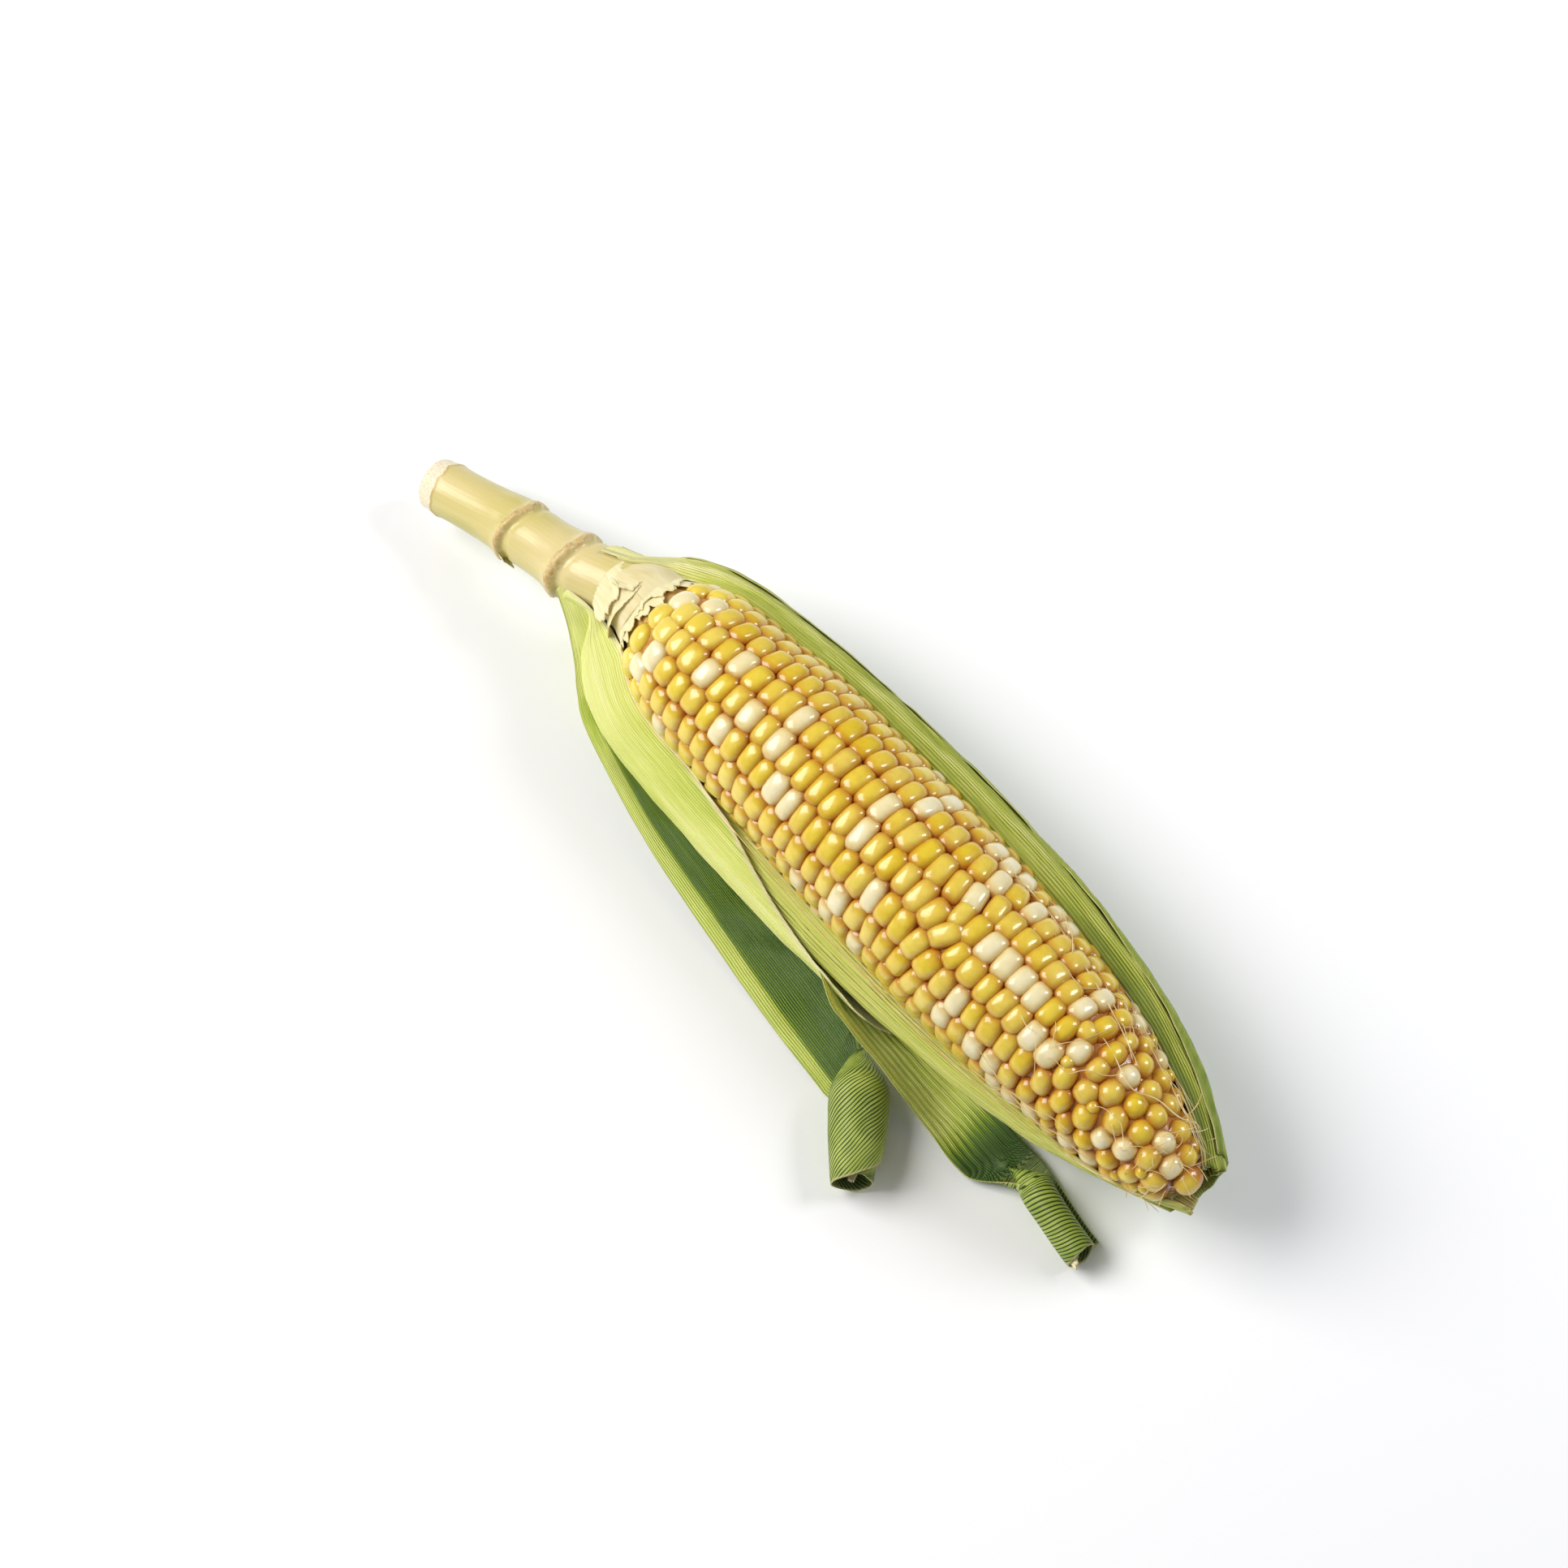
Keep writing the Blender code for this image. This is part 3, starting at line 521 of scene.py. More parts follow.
def pushApart(found, fixed):
    # kernels towards the tip shift until none crowds another
    numbers = np.array(found)
    moving = (np.arange(len(found)) >= fixed) | (numbers[:, 0] > earSettings["latticeEnd"] - 12 * mm)
    near = numbers[:, 0] > 0.15
    moving, numbers = moving[near], numbers[near]
    for step in range(70):
        radius = kernelRadius(numbers[:, 0])
        spots = onEar(numbers[:, 0], numbers[:, 1])
        gaps = spots[:, None] - spots[None, :]
        apart = np.linalg.norm(gaps, axis=2) + np.eye(len(spots))
        wanted = (numbers[:, 2] + numbers[:, 3]) / 2
        wanted = wanted[:, None] + wanted[None, :]
        crowd = np.clip(wanted * 0.93 - apart, 0, None) * (1 - np.eye(len(spots)))
        push = (gaps / apart[..., None] * crowd[..., None]).sum(1) * 0.25
        around = push[:, 1] * np.cos(numbers[:, 1]) - push[:, 2] * np.sin(numbers[:, 1])
        numbers[:, 0] += np.where(moving, np.clip(push[:, 0], -0.8 * mm, 0.8 * mm), 0)
        numbers[:, 1] += np.where(moving, around / np.maximum(radius, 3 * mm), 0)
        numbers[:, 0] = np.minimum(numbers[:, 0], earSettings["tipEnd"])
    for row, old in zip(numbers.tolist(), [k for k in range(len(found)) if near[k]]):
        found[old] = row


def fillHoles(found, rng):
    # a small kernel grows wherever the rings left room for one
    stations, ways = 17, 36
    first = earSettings["latticeEnd"] - 10 * mm
    for step in range(stations * ways):
        s = first + (earSettings["tipEnd"] - first) * (step // ways) / (stations - 1)
        angle = 2 * math.pi * (step % ways) / ways + rng.uniform(-0.05, 0.05)
        others = np.array([k for k in found if k[0] > 0.16])
        apart = np.linalg.norm(onEar(others[:, 0], others[:, 1]) - onEar(s, angle), axis=1)
        room = float(np.min(apart - 0.45 * (others[:, 2] + others[:, 3])))
        if room > 0.6 * mm:
            half = min(room * 1.15 + 1.3 * mm, 3.3 * mm)
            found.append([s, angle, half, half, 3.4 * mm, 0.0, 1.0])


def makeKernels(material):
    rings, sides = 9, 20
    rng = np.random.default_rng(earSettings["seed"])
    places = kernelPlaces()
    down = np.linspace(0, math.radians(124), rings + 1)[:, None]
    sweep, every = fullTurn(sides), np.ones(sides)
    sine, cosine = np.sin(down), np.cos(down)
    below = np.where(cosine < 0, 1 + 0.25 * cosine, 1.0)
    points, faces = [], []
    values = {key: [] for key in ("crown", "tone", "depthTone")}
    for s, angle, halfLong, halfWide, dome, turn, tip in places:
        tipRound = float(eased(s, 0.150, 0.182))
        buttward = 1 - float(eased(s, 0.009, 0.024))
        square = (0.62 + rng.uniform(-0.06, 0.10)) * (1 - tipRound) + 0.88 * tipRound
        crownShape = 0.70 * (1 - tipRound) + 0.90 * tipRound
        if tip < 0:
            square, crownShape = 0.8, 0.8
        out = unit(np.array([tip * 1.1 if tip < 0 else -kernelSlope(s), math.sin(angle), math.cos(angle)]))
        around = np.array([0.0, math.cos(angle), -math.sin(angle)])
        ahead = np.cross(around, out)
        if ahead[0] < 0:
            ahead = -ahead
        longWay = ahead * math.cos(turn) + around * math.sin(turn)
        wideWay = around * math.cos(turn) - ahead * math.sin(turn)
        out = unit(out + longWay * rng.normal(0, 0.045) + wideWay * rng.normal(0, 0.04))
        centre = onEar(s, angle) - out * dome + out * rng.uniform(-0.25, 0.2) * mm
        if tip > 1:
            centre = np.array([s, -1.2 * mm, 2.4 * mm])
            out = unit(np.array([0.55, 0.5, 0.7]))
        cx = np.sign(np.cos(sweep)) * np.abs(np.cos(sweep)) ** square
        cy = np.sign(np.sin(sweep)) * np.abs(np.sin(sweep)) ** square
        height = np.sign(cosine) * np.abs(cosine) ** (1.06 - 0.12 * (1 - tipRound)) * every
        lumps = 1 + 0.03 * np.sin(2 * sweep + rng.uniform(0, 6))[None, :] * sine
        flare = sine ** crownShape * below * lumps
        local = (longWay * (halfLong * flare * cx)[..., None] + wideWay * (halfWide * flare * cy)[..., None]
                 + out * (dome * height)[..., None])
        offset = len(points)
        points.append(centre + out * dome)
        points.extend((centre + local)[1:].reshape(-1, 3))
        for j in range(sides):
            faces.append((offset, offset + 1 + j, offset + 1 + (j + 1) % sides))
        faces += gridFaces(rings, sides, offset + 1, True, True)
        faces.append(rim(offset + 1 + (rings - 1) * sides, sides))
        low, high = earSettings["creamShare"]
        share = low + (high - low) * float(eased(s, 0.11, 0.15)) + 0.26 * buttward
        cream = tip < 1.5 and halfLong > 2.8 * mm and rng.uniform() < share
        tone = rng.uniform(0.0, 0.24) if cream else rng.uniform(0.86, 1.0)
        # painted light: near-side kernels take the paler gold and far-side ones the deeper gold, with random
        # tone besides; kernels at the butt, which sit in shade, are painted paler
        side = 0.5 + 0.5 * math.cos(angle + 0.5)
        sideShadeTone = np.clip(0.08 + 0.80 * side - 0.5 * buttward + rng.normal(0, 0.15), 0, 1)
        crown = np.clip((height + 0.42 + 0.34 * buttward) / 1.42, 0, 1)[1:]
        values["crown"] += [1.0] + crown.ravel().tolist()
        values["tone"] += [tone] * (1 + rings * sides)
        values["depthTone"] += [sideShadeTone] * (1 + rings * sides)
    # the cob fills the space under the kernels
    stations, sides = 90, 48
    s = np.linspace(0.0, 0.203, stations)
    radius = np.maximum(kernelRadius(s) - 2.6 * mm, 0.0012)
    offset = len(points)
    points.extend(onEar(s[:, None], fullTurn(sides), (radius - kernelRadius(s))[:, None]).reshape(-1, 3))
    faces += gridFaces(stations, sides, offset, True, True)
    faces.append(rim(offset, sides))
    faces.append(rim(offset + (stations - 1) * sides, sides, True))
    # at the butt it shows as tan tissue, and under the kernels as dark orange-gold, painted shade for the
    # gaps between them
    butt = np.repeat(1 - eased(s, 0.009, 0.013), sides)
    values["crown"] += (0.60 + 0.12 * butt).tolist()
    values["tone"] += (0.9 - 0.8 * butt).tolist()
    values["depthTone"] += [0.8] * len(butt)
    local = np.array(points)
    placed = world(local[:, 0], local[:, 1] + earShift(local[:, 0]), local[:, 2])
    print("kernels:", len(places))
    ear = addMesh("kernels_on_cob", placed, faces, values, material)
    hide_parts("ear_kernels")


nearWidth = smoothCurve((
    (-0.014, 0.0142), (-0.009, 0.0190), (-0.004, 0.0240), (0.001, 0.0282), (0.010, 0.0322), (0.034, 0.0345),
    (0.062, 0.0352), (0.090, 0.0347), (0.120, 0.0328), (0.154, 0.0285), (0.187, 0.0202), (0.200, 0.0146),
    (0.213, 0.0080)))
farWidth = smoothCurve((
    (-0.014, 0.0136), (-0.009, 0.0152), (-0.004, 0.0182), (0.001, 0.0208), (0.010, 0.0242), (0.039, 0.0294),
    (0.080, 0.0328), (0.119, 0.0332), (0.148, 0.0314), (0.176, 0.0264), (0.195, 0.0200), (0.207, 0.0132),
    (0.213, 0.0090)))
underDepth = smoothCurve((
    (-0.014, 0.0134), (-0.009, 0.0148), (-0.004, 0.0172), (0.001, 0.0200), (0.010, 0.0240), (0.039, 0.0286),
    (0.078, 0.0306), (0.116, 0.0308), (0.154, 0.0286), (0.183, 0.0228), (0.200, 0.017), (0.213, 0.0135)))
sideLevel = smoothCurve((
    (-0.014, -0.001), (0.010, -0.004), (0.040, -0.005), (0.160, -0.005), (0.212, -0.003)))
lipHeight = smoothCurve(((-0.014, 0.004), (0.010, 0.007), (0.040, 0.008), (0.160, 0.008), (0.212, 0.0065)))
baseOffset = smoothCurve((
    (-0.014, 0.0028, -0.0006), (-0.008, 0.0014, -0.0002), (0.002, 0.0, 0.0), (0.010, 0.0, 0.0)))

huskSettings = {
    "thickness": 0.55 * mm,
    "layer": 1.3 * mm,
    "base": -0.0205,
    "end": 0.211,
    "wave": 0.22 * mm,
    "press": 1.0 * mm,        # how far a lip leans in over the kernels' crowns
    "arcPerReach": 40.0,      # mm of leaf for one step of reach, where the husk is widest
}


def boat(s, reach, depth):
    # the husk's section: a lip that turns in to the kernels, then a quarter ellipse down to the bottom
    s, reach = np.broadcast_arrays(np.asarray(s, float), np.asarray(reach, float))
    near = reach < 2
    along = np.where(near, reach, 4 - reach)
    side = np.where(near, 1.0, -1.0)
    width = np.where(near, nearWidth(s), farWidth(s))
    level = sideLevel(s)
    turn = math.pi / 2 * np.where(along < 1, along, along - 1)
    lip = np.minimum(width - kernelRadius(s) - side * earShift(s) + huskSettings["press"], 0.55 * width)
    a = np.where(along < 1, width - lip + (lip - depth) * np.sin(turn), (width - depth) * np.cos(turn))
    b = np.where(along < 1, level + (lipHeight(s) - depth) * np.cos(turn),
                 level - (underDepth(s) + level - depth) * np.sin(turn))
    offset = baseOffset(s)
    return side * a + offset[..., 0], b + offset[..., 1]


def pinched(s, a, b, layer, climb):
    # near its base each leaf closes in on the stem that it grows from, and its margin climbs up its side
    centre = shankAxis(s)
    da, db = a - centre[..., 0], b - centre[..., 1]
    length = np.sqrt(da * da + db * db)
    target = shankRadiusAt(s) + (0.25 + 0.42 * (4 - layer)) * mm
    share = eased(-s, 0.005, 0.0138)
    wanted = length + (np.minimum(target, length) - length) * share
    turn = climb * share * eased(db / length, -0.8, 0.25)
    angle = np.arctan2(db, np.abs(da)) + turn
    return centre[..., 0] + np.sign(da) * np.cos(angle) * wanted, centre[..., 1] + np.sin(angle) * wanted


def sheetPiece(name, grid, values, thickness, material, floor=0.0, turned=False):
    # a closed leaf about a grid of middle points; values hold one number for each of them, and the face
    # towards the ear is the inner one, or the other one where the leaf is turned
    rows, columns = grid.shape[:2]
    normals = gridNormals(grid)
    half = np.broadcast_to(thickness / 2, (rows, columns))
    inner = grid + normals * half[..., None]
    outer = grid - normals * half[..., None]
    topFirst = normals[..., 2] > 0
    inner[..., 2] = np.maximum(inner[..., 2], floor + np.where(topFirst, 2 * half, 0))
    outer[..., 2] = np.maximum(outer[..., 2], floor + np.where(topFirst, 0, 2 * half))
    points = np.concatenate([inner.reshape(-1, 3), outer.reshape(-1, 3)])
    count = rows * columns
    faces = gridFaces(rows, columns, 0, True) + gridFaces(rows, columns, count, False)
    for i in range(rows - 1):
        low, high = i * columns, (i + 1) * columns
        faces.append((low, low + count, high + count, high))
        low, high = low + columns - 1, high + columns - 1
        faces.append((low, high, high + count, low + count))
    for j in range(columns - 1):
        k = (rows - 1) * columns + j
        faces.append((j, j + 1, j + 1 + count, j + count))
        faces.append((k, k + count, k + 1 + count, k + 1))
    doubled = {key: np.tile(np.ravel(np.broadcast_to(value, (rows, columns))), 2)
               for key, value in values.items()}
    innerFace = np.repeat((1.0, 0.0), count)
    doubled["inner"] = 1 - innerFace if turned else innerFace
    return addMesh(name, points, faces, doubled, material)


def huskLeaf(name, node, look, span, first, last, layer, size, margins, tipRound, seed,
             shade=0.0, freeLift=0.0, ribs=(0.07, 1.5), climb=0.0):
    # span is where the leaf starts and ends along the ear; first and last give its reach there
    along, across = spans(*size)
    end = span[1] - tipRound * (2 * across - 1) ** 2 + 0.5 * mm * ripple(across * 26, 0 * across, seed)
    s = span[0] + (end - span[0]) * along
    wobble = 0.022 * ripple(s * 130, 0 * s + seed, seed + 3)
    low = first(s) + wobble * margins[0]
    high = last(s) - wobble * margins[1]
    reach = low + (high - low) * across
    depth = layer * huskSettings["layer"]
    grid = world(s, *pinched(s, *boat(s, reach, depth), layer, climb))
    mmAcross = reach * huskSettings["arcPerReach"]
    toEdge = np.minimum(reach - low if margins[0] else 9.0, high - reach if margins[1] else 9.0)
    edge = toEdge * huskSettings["arcPerReach"] * np.clip(nearWidth(s) / 0.035, 0.25, 1.0)
    wave = huskSettings["wave"] * ripple(s * 150, reach * 7, seed + 7)
    frill = freeLift * np.exp(-edge / 2.2) * (0.6 + ripple(s * 210, reach, seed + 11))
    rib = ribs[0] * mm * np.sin(mmAcross * 2 * math.pi / ribs[1] + 0.8 * ripple(s * 60, reach, seed + 13))
    smoothBase = 1 - 0.8 * eased(-s, 0.006, 0.013)
    grid = grid + gridNormals(grid) * ((wave + frill + rib) * smoothBase)[..., None]
    thick = huskSettings["thickness"] * np.clip(0.35 + edge / 3.0, 0.35, 1.0)
    tone = shade(s, reach) if callable(shade) else shade
    values = {"across": mmAcross, "along": s * 1000, "edge": edge, "shade": tone}
    piece = sheetPiece(name, grid, values, thick, huskMaterials[look], depth * 0.82)
    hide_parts(node)
    print("leaf:", name)


def makeHusk():
    base, end = huskSettings["base"], huskSettings["end"]
    # reach runs from 0 at the near lip, through 2 at the bottom, to 4 at the far lip
    nearMargin = smoothCurve((
        (base, 0.30), (-0.014, 0.12), (-0.006, 0.02), (0.002, 0.0), (0.040, 0.0), (0.056, 0.10),
        (0.076, 0.32), (0.090, 0.52), (0.102, 0.66), (0.114, 0.84), (0.128, 1.30)))
    farOuterRim = smoothCurve(((base, 3.2), (0.010, 3.05), (0.110, 3.1), (0.165, 3.35), (0.205, 3.5)))
    farMargin = smoothCurve(((base, 3.92), (-0.014, 3.95), (-0.006, 3.97), (0.002, 4.0), (0.040, 4.0)))

    def held(value):
        return lambda s: value + 0 * s

    def paleBase(s, reach):
        return 0.30 * eased(-s, -0.020, 0.006) - 0.10 * eased(s, 0.12, 0.20)

    def farInnerShade(s, reach):
        # painted shade on the far lip towards the tip, where the lip's inner face shows
        shadedLip = 0.32 * eased(s, 0.115, 0.165) * eased(reach, 3.3, 3.8)
        return paleBase(s, reach) - shadedLip + 0.5 * eased(-s, -0.002, 0.010)

    def nearOuterShade(s, reach):
        return (0.24 * eased(-s, -0.04, 0.0) + 0.24 * eased(s, 0.03, 0.08) * eased(reach, 0.2, 0.8)
                + 0.10 * ripple(reach * 13, s * 14, 17))

    def nearInnerShade(s, reach):
        return 0.36 - 0.06 * eased(s, 0.12, 0.205)

    huskLeaf("far_outer_leaf", "husk_far_outer", "far_outer", span=(base, end - 0.001),
             first=held(1.48), last=farOuterRim, layer=0, size=(240, 110), margins=(1, 1),
             tipRound=0.002, seed=2, shade=paleBase, freeLift=0.3 * mm)
    huskLeaf("far_inner_leaf", "husk_far_inner", "far_inner", span=(base, end),
             first=held(2.3), last=farMargin, layer=1, size=(240, 150), margins=(0, 1),
             tipRound=0.003, seed=3, shade=farInnerShade, freeLift=0.25 * mm, ribs=(0.42, 3.4), climb=0.70)
    huskLeaf("near_outer_leaf", "husk_near_outer", "near_outer", span=(base, 0.128),
             first=nearMargin, last=held(1.85), layer=1, size=(220, 110), margins=(1, 0),
             tipRound=0.0, seed=4, shade=nearOuterShade, freeLift=0.45 * mm, ribs=(0.05, 3.8), climb=0.25)
    huskLeaf("far_membrane", "husk_far_membrane", "membrane", span=(-0.003, 0.120),
             first=held(3.05), last=held(3.98), layer=2, size=(180, 60), margins=(0, 1),
             tipRound=0.01, seed=5, freeLift=0.4 * mm)
    huskLeaf("near_inner_leaf", "husk_near_inner", "near_inner", span=(0.004, end + 0.002),
             first=held(0.02), last=held(1.95), layer=3, size=(240, 110), margins=(1, 0),
             tipRound=0.002, seed=6, shade=nearInnerShade, freeLift=0.25 * mm, ribs=(0.20, 3.4))
    huskLeaf("under_leaf", "husk_inner_under", "membrane", span=(0.004, end - 0.004),
             first=held(1.3), last=held(2.8), layer=4, size=(160, 60), margins=(0, 0),
             tipRound=0.0, seed=7)


longLeaf = {
    # its two edges from the stem to the roll: along the ear, across it, and up from the surface
    "outer": ((-0.0235, -0.0148, 0.0290), (-0.0150, -0.0180, 0.0250), (-0.0070, -0.0222, 0.0205),
              (-0.0007, -0.0264, 0.0172), (0.0089, -0.0308, 0.0136), (0.0392, -0.0372, 0.0080),
              (0.0694, -0.0408, 0.0050), (0.0993, -0.0440, 0.0025), (0.1240, -0.0458, 0.0010)),
    "inner": ((-0.0225, -0.0090, 0.0310), (-0.0141, -0.0105, 0.0270), (-0.0063, -0.0120, 0.0210),
              (-0.0007, -0.0145, 0.0150), (0.0089, -0.0180, 0.0080), (0.0392, -0.0215, 0.0026),
              (0.0694, -0.0222, 0.0014), (0.0960, -0.0220, 0.0011), (0.1130, -0.0246, 0.0008)),
    "rollStart": (0.1204, -0.0304, 0.0),
    "rollEnd": (0.1488, -0.0574, 0.0),
    "turns": 1.45,
    "radius": ((0.0, 0.0006), (0.16, 0.0042), (0.36, 0.0080), (0.60, 0.0082), (1.0, 0.0066)),
    "tightening": 0.30,
    "head": ((0.0, 0.0), (0.3, 0.02), (0.6, 0.16), (0.85, 0.55), (1.0, 0.78)),
    "tail": ((0.0, 0.52), (0.15, 0.80), (0.33, 0.98), (0.6, 1.0), (1.0, 0.97)),
    "thickness": 0.55 * mm,
    "ribHeight": 0.08 * mm,
    "rollPitch": 1.05,
    "slant": -0.60,           # the veins climb this much for each mm they go round the roll
    "width": 31.0,            # mm of leaf across, for its veins
}


def secondSkin(piece, look, firstPoint):
    # the leaf's end, from this point of its grid on, takes another material
    piece.data.materials.append(huskMaterials[look])
    count = len(piece.data.vertices) // 2
    for face in piece.data.polygons:
        if min(v % count for v in face.vertices) >= firstPoint:
            face.material_index = 1


def makeLongLeaf():
    rows, columns = (150, 170), 120           # flat and rolled
    k = np.linspace(0, len(longLeaf["outer"]) - 1, rows[0])
    outer, inner = [smoothCurve([(n, *point) for n, point in enumerate(longLeaf[key])])(k)
                    for key in ("outer", "inner")]
    t, u = spans(rows[0], columns)
    grid = inner[:, None, :] + (outer - inner)[:, None, :] * u[..., None]
    width = np.linalg.norm(outer - inner, axis=1)[:, None] / mm
    toRim = (1 - u) * width
    sag = 2.2 * mm * (u ** 4 - u) * (1 - t)
    raised = 1.1 * mm * (1 - eased(t, 0.6, 0.95))
    folded = 0.15 * mm * np.clip(4.2 - toRim, 0, None) ** 2 * (1 - eased(t, 0.8, 1.0))
    grid[..., 2] = np.maximum(grid[..., 2] + sag + raised - folded, 0.6 * mm)
    # the roll goes round an axis that lies on the surface, and tightens inwards
    start, end = np.array(longLeaf["rollStart"]), np.array(longLeaf["rollEnd"])
    axis = end - start
    away = unit(np.array((-axis[1], axis[0], 0.0)))
    share = np.linspace(0, 1, rows[1] + 1)[1:][:, None]
    head, tail = smoothCurve(longLeaf["head"])(share), smoothCurve(longLeaf["tail"])(share)
    tail = tail + 0.012 * ripple(share * 22, 0 * share, 5) * share
    along = head + (tail - head) * u
    widest = smoothCurve(longLeaf["radius"])(along)
    radius = widest * (1 - longLeaf["tightening"] * share)
    turn = 2 * math.pi * longLeaf["turns"] * share
    lift = widest + longLeaf["thickness"] / 2 - radius * np.cos(turn)
    rolled = (start + axis * along[..., None] + away * (radius * np.sin(turn))[..., None]
              + up * lift[..., None])
    grid = axisFoot + np.concatenate([grid, rolled])
    onRoll = stacked(0.0, eased(share, 0.0, 0.12), rows, columns)
    across = u * longLeaf["width"] + stacked(0.0, turn * 7.5 * longLeaf["slant"], rows, columns)
    steps = np.linalg.norm(np.diff(grid, axis=0), axis=2)
    leafAlong = np.cumsum(np.concatenate([np.zeros((1, columns)), steps]), 0) / mm
    phase = (across + 0.5 * ripple(leafAlong / 9, across / 8, 23)) * 2 * math.pi / longLeaf["rollPitch"]
    rib = longLeaf["ribHeight"] * np.maximum(np.sin(phase), -0.2) ** 2 * np.sign(np.sin(phase)) * onRoll
    fine = 0.05 * mm * np.sin(across * 2 * math.pi / 0.95) * (1 - onRoll)
    wave = 0.15 * mm * ripple(leafAlong / 7, across / 9, 21)
    grid = grid - gridNormals(grid) * (rib - fine + wave)[..., None]
    toEnd = 0.5 * np.arange(sum(rows))[::-1, None]
    edge = np.minimum((1 - u) * stacked(width, longLeaf["width"], rows, columns), toEnd)
    # the base is painted paler, partly its own colour and partly painted light where it hangs steeply; the
    # strip beside the rim has a painted highlight, where the rim turns up to the light
    paleBaseAndRimLight = np.maximum(0.85 * (1 - eased(t, 0.12, 0.62)), 0.50 * np.exp(-np.maximum(toRim - 3.6, 0) / 0.5))
    values = {"across": across, "along": leafAlong, "edge": edge, "shade": stacked(paleBaseAndRimLight, 0.0, rows, columns)}
    thick = longLeaf["thickness"] * np.clip(0.4 + edge / 3.0, 0.4, 1.0)
    piece = sheetPiece("long_leaf", grid, values, thick, huskMaterials["dark"], 0.0, True)
    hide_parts("husk_long_rolled")
    # the roll shows the underside's stronger ribs
    secondSkin(piece, "rolled", rows[0] * columns)
    print("leaf: long_leaf")


curledLeaf = {
    "start": 0.016,
    "end": 0.200,
    "reach": (1.42, 0.78),
    # its two edges once it is free of the husk: along the ear, across it, and up from the surface
    "outer": ((0.098, -0.0308, 0.0225), (0.108, -0.0332, 0.0205), (0.118, -0.0336, 0.0182),
              (0.128, -0.0334, 0.0152), (0.1367, -0.0335, 0.0120), (0.1476, -0.0328, 0.0065),
              (0.1628, -0.0331, 0.0026), (0.172, -0.0320, 0.0012), (0.180, -0.0300, 0.0010)),
    "inner": ((0.118, -0.0190, 0.0040), (0.140, -0.0176, 0.0040), (0.155, -0.0165, 0.0042),
              (0.172, -0.0160, 0.0030), (0.180, -0.0160, 0.0020)),
    "free": (0.096, 0.114),
    "scroll": (0.164, 0.181),
    "scrollSkinFrom": 0.170,
    "radii": (0.0048, 0.0030),
    "turns": 1.4,
    "middle": (-0.0198, -0.0248),
    "flatShare": 0.2,
    "flatWidth": 0.0060,
    "thickness": 0.55 * mm,
}


def makeCurledLeaf():
    rows, columns = 300, 120
    t, u = spans(rows, columns)
    begin, end = curledLeaf["start"], curledLeaf["end"]
    s = begin + (end - begin) * t
    free, scroll = eased(s, *curledLeaf["free"]), eased(s, *curledLeaf["scroll"])
    low, high = curledLeaf["reach"]
    capped = np.minimum(s, curledLeaf["free"][1])
    hugging = world(capped, *boat(capped, low + (high - low) * u, 2 * huskSettings["layer"])) - axisFoot
    outer, inner = [smoothCurve(curledLeaf[key])(s[:, 0])[:, None, :] for key in ("outer", "inner")]
    spread = np.zeros((rows, columns, 3))
    spread[..., 1:] = inner + (outer - inner) * u[..., None]
    spread[..., 2] -= 3.0 * mm * np.sin(math.pi * u) * free
    # the scroll's section: in along the surface, then up and over on itself
    level, flatShare = curledLeaf["thickness"] / 2 + 0.1 * mm, curledLeaf["flatShare"]
    back = np.clip(1 - u / flatShare, 0, 1)
    share = np.clip((u - flatShare) / (1 - flatShare), 0, 1)
    turn = 2 * math.pi * curledLeaf["turns"] * share
    flare = 1.02 - 0.04 * eased(s, 0.168, 0.200)
    widest, tightest = curledLeaf["radii"]
    radius = (widest + (tightest - widest) * share) * flare
    low, high = curledLeaf["middle"]
    middle = low + (high - low) * eased(s, 0.160, 0.204)
    y = np.where(back > 0, middle + curledLeaf["flatWidth"] * back, middle - radius * np.sin(turn))
    z = np.where(back > 0, level + 2.0 * mm * back * back, level + widest * flare - radius * np.cos(turn))
    section = np.stack(np.broadcast_arrays(0.0, y, z), -1)
    grid = hugging + (spread - hugging) * free[..., None]
    grid = grid + (section - grid) * scroll[..., None]
    ragged = 0.7 * mm * ripple(u * 9, 0 * u, 9) * eased(s, 0.185, 0.20)
    grid[..., 0] = s + ragged
    grid = axisFoot + grid
    arc = u * 30.0
    slanted = (s - 0.168) * 920 + 20 - arc * 0.55
    across = arc * (1 - scroll) + slanted * scroll
    along = s / mm * (1 - scroll) + arc * scroll
    slantedRib = np.sin((across + 0.5 * ripple(s * 160, arc / 6, 33)) * 2 * math.pi) * scroll
    rib = 0.07 * mm * (slantedRib + np.sin(arc * 2 * math.pi / 1.3) * (1 - scroll))
    wave = 0.3 * mm * ripple(s * 220, u * 5, 31) * free * (1 - 0.6 * scroll)
    grid = grid + gridNormals(grid) * (rib + wave)[..., None]
    edge = np.minimum((1 - u) * 30, (end - s) / mm)
    # painted light where it comes out of the husk, and painted shade in the hollow before its scroll
    lit = eased(s, 0.090, 0.105) * (1 - eased(s, 0.146, 0.166)) * (0.32 * eased(u, 0.30, 0.80) + 0.62)
    kinkShade = 0.22 * eased(s, 0.150, 0.166) * (1 - eased(s, 0.168, 0.176))
    values = {"across": across, "along": along, "edge": edge, "shade": lit - kinkShade}
    thick = curledLeaf["thickness"] * np.clip(0.4 + edge / 3.0, 0.4, 1.0)
    piece = sheetPiece("curled_leaf", grid, values, thick, huskMaterials["dark"], 0.0, True)
    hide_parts("husk_near_curled")
    secondSkin(piece, "scroll", int(rows * (curledLeaf["scrollSkinFrom"] - begin) / (end - begin)) * columns)
    print("leaf: curled_leaf")


